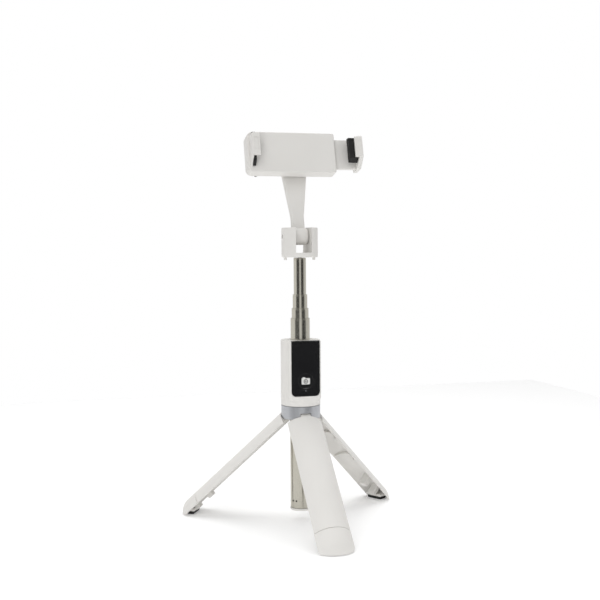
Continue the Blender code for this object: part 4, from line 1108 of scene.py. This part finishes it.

# %% [markdown]
# The finished leg is copied three times. Each copy is carried to its hinge by
# the matrix made at the start, and rides on its own body.

# %% Copy the leg to its three hinges
# The dark foot pads are partly painted shade under each foot.
parts = (("leg_shell", shell, WHITE, "leg_channel"), ("foot_shell", cup, WHITE, "foot_cap"),
         ("foot_rubber", pad, RUBBER, "foot_pad"))
for name, master, material, node in parts:
    for k in range(3):
        piece = link(name, master.data.copy())
        finished(f"{name}_{k + 1}", piece, f"leg_{k + 1}", material, f"{node}_{k + 1}",
                 place=LEGS[k])
    bpy.data.objects.remove(master, do_unlink=True)
print("legs:", MADE["leg_shell_1"], "faces each")

# %% [markdown]
# ## Head
#
# The yoke is a short turned body with a wide slot, in which the arm's knuckle
# tilts on a steel pin. Two washers give the friction that holds the phone's
# weight. Two small nubs stand under it.

# %% Yoke and tilt pin
yoke_low, yoke_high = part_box("head_yoke")
YOKE_RADIUS = half_width("head_yoke")
YOKE_BASE = JOINTS["head_pan"]["pos_m"][2]
TILT_Z = JOINTS["head_tilt"]["pos_m"][2]
knuckle_low, knuckle_high = local_box("clamp_arm", TILT)
KNUCKLE_HALF = 4.8 * MM
KNUCKLE_RADIUS = -knuckle_low.z
SLOT_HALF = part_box("tilt_washer_2")[1].x + GAP
YOKE_FLOOR = YOKE_BASE + 3.3 * MM
TILT_PIN_RADIUS = 1.8 * MM
yoke = stud(YOKE_RADIUS, YOKE_BASE, yoke_high.z, 0.8 * MM, 160)
slot_shape = soft_box(-SLOT_HALF, SLOT_HALF, YOKE_FLOOR, yoke_high.z + 10 * MM, 0.6 * MM)
yoke = cut(yoke, flat([slot_shape], -2 * YOKE_RADIUS, 2 * YOKE_RADIUS, 0.0, FRONTAL))
yoke = rounded(yoke, 0.22 * MM, 2, 55)
pin_hole = bar(TILT_PIN_RADIUS + GAP / 2, -2 * YOKE_RADIUS, 2 * YOKE_RADIUS)
well = stud(3.3 * MM, YOKE_FLOOR - 1.4 * MM, YOKE_FLOOR + MM, 0.05 * MM)
through = stud(1.8 * MM, YOKE_BASE - MM, YOKE_FLOOR + MM, 0.05 * MM)
yoke = cut(yoke, shift(pin_hole, z=TILT_Z), well, through)
for side in (-1, 1):
    nub = stud(1.1 * MM, yoke_low.z, YOKE_BASE + MM, 0.35 * MM, 32)
    yoke = join(yoke, shift(nub, x=side * (YOKE_RADIUS - 2.5 * MM)))
finished("yoke_body", yoke, "head", WHITE, "head_yoke")

low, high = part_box("tilt_pin")
pin = bar(TILT_PIN_RADIUS, low.x, high.x, 0.3 * MM, 64)
finished("tilt_axle", shift(pin, z=TILT_Z), "head", TURNED_STEEL, "tilt_pin")
for k in range(2):
    low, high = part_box(f"tilt_washer_{k + 1}")
    disc = ring((high.z - low.z) / 2, TILT_PIN_RADIUS + GAP, low.x, high.x, 0.12 * MM, 64)
    finished(f"friction_washer_{k + 1}", shift(move(disc, ALONG_X), z=TILT_Z), "head", WHITE,
             f"tilt_washer_{k + 1}")
print("yoke:", MADE["yoke_body"], "faces")

# %% [markdown]
# The screw that ties the yoke to the pole has a cross recess. A recess is cut
# from two crossed bars with tapered ends, by the same function for every
# screw on the stick.

# %% Screws with a cross recess
def screw(head_radius, head_height, shank_radius, length):
    """A pan head whose top is at zero, with its shank downwards."""
    crown = arc(0.0, -head_height, head_radius, 90, 0, 10)
    crown = [(x, -head_height + (z + head_height) * head_height / head_radius) for x, z in crown]
    profile = crown + [(head_radius, -head_height), (shank_radius, -head_height),
                       (shank_radius, -length + shank_radius / 2), (0.0, -length)]
    body = turned(profile[::-1], 48, closed=False)
    wide = head_radius * 0.55
    thin = head_radius * 0.13
    deep = head_height * 0.7
    across = block(-wide, wide, -thin, thin, -deep, MM)
    along = block(-thin, thin, -wide, wide, -deep, MM)
    return cut(body, across, along)


low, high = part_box("head_screw")
tie = screw(half_width("head_screw"), 1.0 * MM, 1.5 * MM, high.z - low.z)
finished("yoke_screw", shift(tie, z=high.z), "section_4", TURNED_STEEL, "head_screw")
low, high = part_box("head_plug")
insert = ring(half_width("head_plug"), 1.65 * MM, low.z, high.z, 0.3 * MM, 64)
finished("pole_insert", insert, "section_4", BLACK, "head_plug")
print("yoke screw:", MADE["yoke_screw"], "faces")

# %% [markdown]
# The arm is a flat neck that widens to a round boss behind the clamp. A
# filled outline with rounded edges makes the neck, and a turned knuckle is
# joined to its foot.

# %% Clamp arm
ARM_LENGTH = (Vector(JOINTS["clamp_swivel"]["pos_m"]) - Vector(JOINTS["head_tilt"]["pos_m"])).length
BOSS_RADIUS = knuckle_high.x
ARM_BACK = 5.2 * MM
ARM_FRONT = 0.4 * MM
NECK_START = YOKE_RADIUS + 2 * MM
taper = math.degrees(math.asin((BOSS_RADIUS - KNUCKLE_HALF) / (ARM_LENGTH - YOKE_RADIUS)))
neck = [(-KNUCKLE_HALF, 0.0), (KNUCKLE_HALF, 0.0), (KNUCKLE_HALF, NECK_START)]
neck += arc(0, ARM_LENGTH, BOSS_RADIUS, -taper, 180 + taper, 48)
neck += [(-KNUCKLE_HALF, NECK_START)]
arm = flat([neck], -ARM_BACK, -ARM_FRONT, 0.9 * MM, FRONTAL)
knuckle = bar(KNUCKLE_RADIUS, -KNUCKLE_HALF, KNUCKLE_HALF, 0.4 * MM, 96)
arm = join(arm, knuckle)
pin_hole = bar(TILT_PIN_RADIUS + GAP / 2, -10 * MM, 10 * MM)
SWIVEL_RADIUS = 2.0 * MM
swivel_hole = bar(SWIVEL_RADIUS + GAP, -20 * MM, 20 * MM, along=ALONG_Y)
recess = [circle(ARM_LENGTH, 7.6 * MM, 72), circle(ARM_LENGTH, 5.2 * MM, 72)]
recess = flat(recess, -ARM_BACK - MM, -ARM_BACK + 0.7 * MM, 0.0, FRONTAL)
waist = softened([(-2.6 * MM, NECK_START + 2 * MM), (2.6 * MM, NECK_START + 2 * MM),
                  (4.2 * MM, ARM_LENGTH - 15 * MM), (-4.2 * MM, ARM_LENGTH - 15 * MM)], 1.2 * MM)
waist = flat([waist], -ARM_BACK - MM, -ARM_BACK + 0.9 * MM, 0.0, FRONTAL)
arm = cut(arm, pin_hole, shift(swivel_hole, z=ARM_LENGTH), recess, waist)
finished("arm_body", arm, "arm", WHITE, "clamp_arm", place=TILT)
print("arm:", MADE["arm_body"], "faces,", round(ARM_LENGTH / MM, 1), "mm long")

# %% [markdown]
# ## Clamp
#
# The clamp's body holds the fixed jaw at its left end. The moving jaw's plate
# slides in a pocket in the body, pulled in by two springs. A side wall is one
# outline seen from the side: tall behind, and narrower at the lip that curls
# over the phone.

# %% Clamp frame
frame_low, frame_high = local_box("clamp_frame", CLAMP)
BODY_HALF = frame_high.z
BODY_LEFT = -frame_low.x
BODY_RIGHT = frame_high.x
JAW_REACH = -frame_low.y
FRAME_BACK = -frame_high.y
jaw_low, jaw_high = local_box("moving_jaw", CLAMP)
fixed_low, fixed_high = local_box("fixed_jaw_pad", CLAMP)
moving_low, moving_high = local_box("moving_jaw_pad", CLAMP)
PHONE_ROOM = 6.0 * MM
LIP = 2.3 * MM
BODY_FRONT = JAW_REACH - PHONE_ROOM - LIP
POCKET_FRONT = BODY_FRONT - 2.8 * MM
RIM_WALL = 3.5 * MM
JAW_WALL = 3.0 * MM
LIP_BOTTOM = -5.5 * MM
LIP_TOP = 11.5 * MM
LIP_HOLD = 2.7 * MM
INSET = 0.2 * MM


def jaw_side(x_low, x_high, edge):
    """Side wall of a jaw: nearly full height at the back, lip height in front."""
    back = FRAME_BACK + INSET
    low = -BODY_HALF + 3.2 * MM
    high = LIP_TOP + 0.6 * MM
    front = JAW_REACH - INSET
    loop = [(-back, low), (-BODY_FRONT, low), (-front, LIP_BOTTOM + INSET),
            (-front, LIP_TOP - INSET), (-BODY_FRONT, high), (-back, high)]
    return flat([softened(loop, 1.6 * MM, 8)], x_low, x_high, edge, SIDE)


def jaw_lip(x_low, x_high, top):
    """The lip that curls over the phone, its front edges rounded."""
    shape = soft_box(-JAW_REACH, -JAW_REACH + LIP, LIP_BOTTOM, top, 0.6 * MM)
    return flat([shape], x_low, x_high, 0.4 * MM, SIDE)


def lip_recess(x_low, x_high):
    """A shallow panel in the lip's front face, between a head and a foot bar."""
    shape = soft_box(x_low, x_high, LIP_BOTTOM + 4.2 * MM, LIP_TOP - 3.0 * MM, 0.4 * MM)
    return flat([shape], JAW_REACH - 0.45 * MM, JAW_REACH + MM, 0.0, FRONTAL)


CORNERS = ((-1, 1, 5.0 * MM, 90, 12), (-1, -1, 4.0 * MM, 180, 10),
           (1, -1, 1.6 * MM, 270, 6), (1, 1, 1.6 * MM, 0, 6))
body_shape = []
for across, up, corner, start, steps in CORNERS:
    end_x = BODY_RIGHT if across > 0 else BODY_LEFT
    body_shape += arc(across * (end_x - corner), up * (BODY_HALF - corner), corner, start,
                      start + 90, steps)
body = flat([body_shape], FRAME_BACK, BODY_FRONT, 0.9 * MM, FRONTAL)
WALL_IN = 1.9 * MM                   # the jaw's wall stands in from the body's end
LIP_IN = 0.9 * MM                    # and its lip a little more
wall_start = -BODY_LEFT + WALL_IN
lip_end = fixed_high.x + LIP_HOLD
lip = jaw_lip(wall_start + LIP_IN, lip_end, LIP_TOP + 0.4 * MM)
lip = cut(lip, lip_recess(wall_start + LIP_IN + MM, lip_end - MM))
body = join(body, join(jaw_side(wall_start, fixed_low.x, 0.5 * MM), lip))
rim = BODY_HALF - RIM_WALL
END_WALL = 1.5 * MM
pocket = soft_box(-BODY_LEFT + END_WALL, BODY_RIGHT + PAST, -rim, rim, 0.4 * MM)
body = cut(body, flat([pocket], -MM, POCKET_FRONT, 0.0, FRONTAL))
SWIVEL_BOSS = 4.3 * MM
SCREW_HOLE = 0.95 * MM
SCREW_FAR = 9.0 * MM                 # drills through the back plate start here
boss = bar(SWIVEL_BOSS, -BODY_FRONT + MM, -FRAME_BACK - GAP, THIN, 64, along=ALONG_Y)
body = join(body, boss)
screw_end = POCKET_FRONT + MM
body = cut(body, bar(SWIVEL_RADIUS + GAP, -screw_end, MM, along=ALONG_Y))
screw_places = []
for k in range(2):
    low, high = local_box(f"clamp_screw_{k + 1}", CLAMP)
    place = ((low.x + high.x) / 2, (low.z + high.z) / 2)
    screw_places.append(place)
    hole = bar(SCREW_HOLE, low.y - 0.5 * MM, MM, steps=24, along=ALONG_Y)
    body = cut(body, shift(hole, x=place[0], z=place[1]))
finished("clamp_body", body, "clamp", WHITE, "clamp_frame", place=CLAMP)
print("clamp body:", MADE["clamp_body"], "faces")

# %% [markdown]
# A back plate covers the pocket, held by two small screws. The arm turns on a
# larger screw through the plate and the boss, with a washer between.

# %% Back plate, screws and swivel
plate_low, plate_high = local_box("clamp_back_plate", CLAMP)
plate = soft_box(plate_low.x, plate_high.x, plate_low.z, plate_high.z, 2.2 * MM, 6)
plate = flat([plate], -plate_high.y, -plate_low.y, 0.35 * MM, FRONTAL)
plate = cut(plate, bar(SWIVEL_RADIUS + GAP, -SCREW_FAR, MM, along=ALONG_Y))
for k, (x, z) in enumerate(screw_places):
    hole = bar(SCREW_HOLE, -SCREW_FAR, MM, steps=24, along=ALONG_Y)
    plate = cut(plate, shift(hole, x=x, z=z))
    low, high = local_box(f"clamp_screw_{k + 1}", CLAMP)
    fixing = move(screw((high.x - low.x) / 2 - INSET, 0.7 * MM, 0.7 * MM, high.y - low.y), ALONG_Y)
    finished(f"cross_screw_{k + 1}", shift(fixing, x=x, y=high.y, z=z), "clamp", TURNED_STEEL,
             f"clamp_screw_{k + 1}", place=CLAMP)
finished("clamp_cover", plate, "clamp", WHITE, "clamp_back_plate", place=CLAMP)
low, high = local_box("swivel_screw", CLAMP)
bolt = move(screw(high.x, 1.7 * MM, SWIVEL_RADIUS, high.y - low.y), ALONG_Y)
finished("swivel_bolt", shift(bolt, y=high.y), "clamp", TURNED_STEEL, "swivel_screw", place=CLAMP)
low, high = local_box("swivel_washer", CLAMP)
disc = move(ring(high.x, SWIVEL_RADIUS + GAP, low.y, high.y, 0.12 * MM), ALONG_Y)
move(disc, Matrix.Scale(-1, 4, (0, 1, 0)))
disc.data.flip_normals()
finished("swivel_disc", disc, "clamp", BLACK, "swivel_washer", place=CLAMP)
print("back of the clamp:", MADE["clamp_cover"], "faces")

# %% [markdown]
# The moving jaw is one moulding: side wall, lip, and the plate that runs in
# the body's pocket with a slot round the swivel boss. Its inner end has two
# heels that the springs push.

# %% Moving jaw
wall_left = jaw_high.x - JAW_WALL
jaw = jaw_side(moving_high.x, jaw_high.x - INSET, 0.5 * MM)
lip = jaw_lip(wall_left - 3.2 * MM, jaw_high.x - 2 * INSET, LIP_TOP - MM)
jaw = join(jaw, cut(lip, lip_recess(wall_left - 2.2 * MM, jaw_high.x - 1.5 * MM)))
slider_front = POCKET_FRONT - GAP
slider_back = slider_front - 3.0 * MM
end = jaw_low.x
SLIDER_HALF = rim - 2 * GAP
TRAVEL_IN = -JOINTS["jaw_slide"]["range_m"][0]
SLOT_HALF = 4.9 * MM
HEEL = 2.7 * MM                      # thickness of the slider's inner end
slot_loop = soft_box(end + HEEL, SWIVEL_BOSS + GAP + TRAVEL_IN, -SLOT_HALF, SLOT_HALF, 1.5 * MM)
slider = soft_box(end, wall_left + MM, -SLIDER_HALF, SLIDER_HALF, 0.6 * MM)
slider = flat([slider, slot_loop], slider_back, slider_front, 0.25 * MM, FRONTAL)
jaw = join(jaw, slider)
ROD_OFFSET = 8.5 * MM
ROD_DEPTH = 5.3 * MM
ROD_RADIUS = 0.9 * MM
HEEL_HALF = 2.2 * MM
for side in (-1, 1):
    z = side * ROD_OFFSET
    heel = soft_box(end, end + HEEL, z - HEEL_HALF, z + HEEL_HALF, 0.4 * MM)
    jaw = join(jaw, flat([heel], FRAME_BACK + GAP, slider_back + MM, 0.2 * MM, FRONTAL))
    hole = bar(ROD_RADIUS + GAP, end - MM, end + 4 * MM, steps=32)
    jaw = cut(jaw, shift(hole, y=-ROD_DEPTH, z=z))
finished("jaw_body", jaw, "jaw", WHITE, "moving_jaw", place=CLAMP)
print("moving jaw:", MADE["jaw_body"], "faces")

# %% [markdown]
# The springs push between the jaw's heels and a guide block, over two rods.
# They stay on the clamp's body.

# %% Guide, rods and springs
WIRE = 0.3 * MM
COIL_RADIUS = 1.6 * MM
guide_low, guide_high = local_box("clamp_guide", CLAMP)
guide = flat([soft_box(guide_low.x, guide_high.x, guide_low.z, guide_high.z, 0.5 * MM)],
             -guide_high.y, -guide_low.y, 0.3 * MM, FRONTAL)
for k in range(2):
    rod_low, rod_high = local_box(f"guide_rod_{k + 1}", CLAMP)
    z = (rod_low.z + rod_high.z) / 2
    hole = bar(ROD_RADIUS + GAP, guide_low.x - MM, guide_high.x + MM, steps=32)
    guide = cut(guide, shift(hole, y=-ROD_DEPTH, z=z))
    rod = bar(ROD_RADIUS, rod_low.x, rod_high.x, 0.25 * MM, 32)
    finished(f"slide_rod_{k + 1}", shift(rod, y=-ROD_DEPTH, z=z), "clamp", TURNED_STEEL,
             f"guide_rod_{k + 1}", place=CLAMP)
    low, high = local_box(f"clamp_spring_{k + 1}", CLAMP)
    coil = grow("coil", WIRE_COIL, Turns=9.0, Radius=COIL_RADIUS, Wire=WIRE,
                Length=high.x - low.x - 2 * WIRE)
    move(coil, Matrix.Translation((low.x + WIRE, -ROD_DEPTH, z)) @ ALONG_X)
    spring = finished(f"coil_spring_{k + 1}", coil, "clamp", TURNED_STEEL, f"clamp_spring_{k + 1}",
                      place=CLAMP)
    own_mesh(spring)
finished("guide_block", guide, "clamp", GREY, "clamp_guide", place=CLAMP)
print("springs:", MADE["coil_spring_1"], "faces each")

# %% [markdown]
# The rubber pads grip the phone's edges. Their gripping faces have a row of
# fine ribs, grown by the rib tree and sunk to half their height.

# %% Jaw pads with ribs
RIB_COUNT = 9
RIB_RADIUS = 0.28 * MM
RIB_SUNK = 0.12 * MM


def jaw_pad(name, body, low, high, face_x, inward, node):
    back = -BODY_FRONT - 0.6 * MM
    shape = softened([(back, low.z), (low.y, low.z + 3.0 * MM), (low.y, high.z - MM),
                      (back, high.z)], 0.6 * MM)
    finished(name, flat([shape], low.x, high.x, 0.25 * MM, SIDE), body, RUBBER, node, place=CLAMP)
    step = (high.z - low.z - 6 * MM) / (RIB_COUNT - 1)
    ribs = grow("ribs", RIB_ROW, Count=RIB_COUNT, Radius=RIB_RADIUS,
                Start=(face_x - inward * RIB_SUNK, (low.y - BODY_FRONT) / 2, low.z + 3.6 * MM),
                Step=(0.0, 0.0, step), Half_Length=(0.0, 1.9 * MM, 0.0))
    finished(name + "_ribs", ribs, body, RUBBER, place=CLAMP)


jaw_pad("fixed_pad", "clamp", fixed_low, fixed_high, fixed_high.x, 1, "fixed_jaw_pad")
jaw_pad("moving_pad", "jaw", moving_low, moving_high, moving_low.x, -1, "moving_jaw_pad")
print("pads:", MADE["fixed_pad_ribs"], "faces of ribs")

# %% [markdown]
# ## Inside the remote
#
# The board, switch and coin cell aren't seen from outside, but they are real
# pieces. They keep their CAD solids, with proper finishes.

# %% Finishes for the inner nodes
INNER = {"remote_circuit_board": BOARD, "remote_switch": TURNED_STEEL,
         "remote_battery": TURNED_STEEL}
for name, material in INNER.items():
    data = frame["nodes"][name].data
    data.materials.clear()
    data.materials.append(material)
hidden = {n for o in bpy.data.objects for n in o.get("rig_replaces", [])}
left = sorted(set(frame["nodes"]) - hidden - set(INNER))
print("replaced", len(hidden), "nodes; left plain:", left)

# %% [markdown]
# ## Studio
#
# The floor is pale, and large soft lights stand round the stick. Polished
# steel shows what surrounds it, so the world has two dark bands beside the
# viewpoint, as a real studio has behind its lamps. The camera sees only the
# pale backdrop.

# %% Floor and lights
FLOOR_HALF = 0.55
FLOOR_PLACE = (0, 0.12, -0.0002)
paper_mesh = bpy.data.meshes.new("studio_floor")
paper_mesh.from_pydata([(x, y, 0) for x, y in rectangle(-FLOOR_HALF, FLOOR_HALF, -FLOOR_HALF,
                                                        FLOOR_HALF)], [], [(0, 1, 2, 3)])
floor = link("studio_floor", paper_mesh)
floor.location = FLOOR_PLACE
paper = bpy.data.materials.new("studio_paper")
paper.use_nodes = True
paper_shader = paper.node_tree.nodes["Principled BSDF"]
for label, value in (("Base Color", (0.93, 0.93, 0.93, 1)), ("Roughness", 0.9),
                     ("Specular IOR Level", 0.1), ("Emission Color", (1, 1, 1, 1)),
                     ("Emission Strength", 0.16)):
    paper_shader.inputs[label].default_value = value
floor.data.materials.append(paper)


def soft_light(name, location, size, power):
    lamp = bpy.data.lights.new(name, "AREA")
    lamp.shape = "DISK"
    lamp.size = size
    lamp.energy = power
    obj = link(name, lamp)
    obj.location = location
    aim = LIGHT_AIM - Vector(location)
    obj.rotation_euler = aim.to_track_quat("-Z", "Y").to_euler()
    obj.visible_glossy = False


LIGHT_AIM = Vector((0, 0, 0.14))
soft_light("key_light", (-0.7, -0.9, 1.1), 0.8, 2.6)
soft_light("low_light", (-0.45, -0.7, 0.1), 0.4, 1.0)
soft_light("fill_light", (0.9, -0.7, 0.7), 0.9, 1.5)
soft_light("top_light", (0.0, 0.3, 1.3), 1.2, 8.0)
print("lights:", len(bpy.data.lights))

# %% [markdown]
# The bands are a colour ramp over the compass bearing. Only glossy rays see
# them; other light from the world is an even grey.

# %% World with reflection bands
world = bpy.data.worlds.new("studio")
bpy.context.scene.world = world
world.use_nodes = True
sky = world.node_tree
direction = sky.nodes.new("ShaderNodeTexCoord").outputs["Generated"]
split = add(sky, "ShaderNodeSeparateXYZ", Vector=direction).outputs
bearing = maths(sky, "ARCTAN2", split["X"], maths(sky, "MULTIPLY", split["Y"], -1.0))
band = add(sky, "ShaderNodeValToRGB", Fac=ramp(sky, bearing, -math.pi, math.pi))
# Degrees from the front, and how bright the studio is there.
stops = [(-180, 1.0), (-84, 1.0), (-74, 0.09), (-28, 0.07), (-20, 0.9), (0, 0.9),
         (9, 0.05), (50, 0.07), (62, 0.8), (180, 1.0)]
while len(band.color_ramp.elements) < len(stops):
    band.color_ramp.elements.new(0.5)
for element, (angle, value) in zip(band.color_ramp.elements, stops):
    element.position = (angle + 180) / 360
    element.color = (value, value, value, 1)
softer = mixed(sky, "RGBA", ramp(sky, split["Z"], 0.25, 0.75), band, (0.9, 0.9, 0.9, 1))
paths = sky.nodes.new("ShaderNodeLightPath").outputs
seen = mixed(sky, "RGBA", paths["Is Glossy Ray"], (0.52, 0.52, 0.52, 1), softer)
view = mixed(sky, "RGBA", paths["Is Camera Ray"], seen, (1.0, 1.0, 1.0, 1))
sky.links.new(view, sky.nodes["Background"].inputs["Color"])
print("world bands:", len(stops))

# %% [markdown]
# The camera stands to the left of the front leg, a little above the hub, and
# looks slightly down.

# %% Camera
yaw = math.radians(-15.4)
pitch = math.radians(-2.96)
roll = Matrix.Rotation(math.radians(-0.4), 3, "Z")
CAMERA_DISTANCE = 0.731
CAMERA_HEIGHT = 0.203
camera = link("viewpoint", bpy.data.cameras.new("viewpoint"))
camera.data.sensor_width = 36.0
camera.data.lens = 58.92
camera.location = (POLE.translation.x + CAMERA_DISTANCE * math.sin(yaw),
                   POLE_Y - CAMERA_DISTANCE * math.cos(yaw), CAMERA_HEIGHT)
aim = Vector((-math.sin(yaw) * math.cos(pitch), math.cos(yaw) * math.cos(pitch), math.sin(pitch)))
upright = aim.to_track_quat("-Z", "Y").to_matrix()
camera.rotation_euler = (upright @ roll).to_euler()
bpy.context.scene.camera = camera
bpy.context.scene.view_settings.view_transform = "Standard"
print("camera at", [round(v, 3) for v in camera.location])

# %% [markdown]
# ## Piece count
#
# The last cell prints how many pieces were made and how many faces they have.

# %% Piece and face count
print("pieces:", len(MADE), "faces:", sum(MADE.values()))
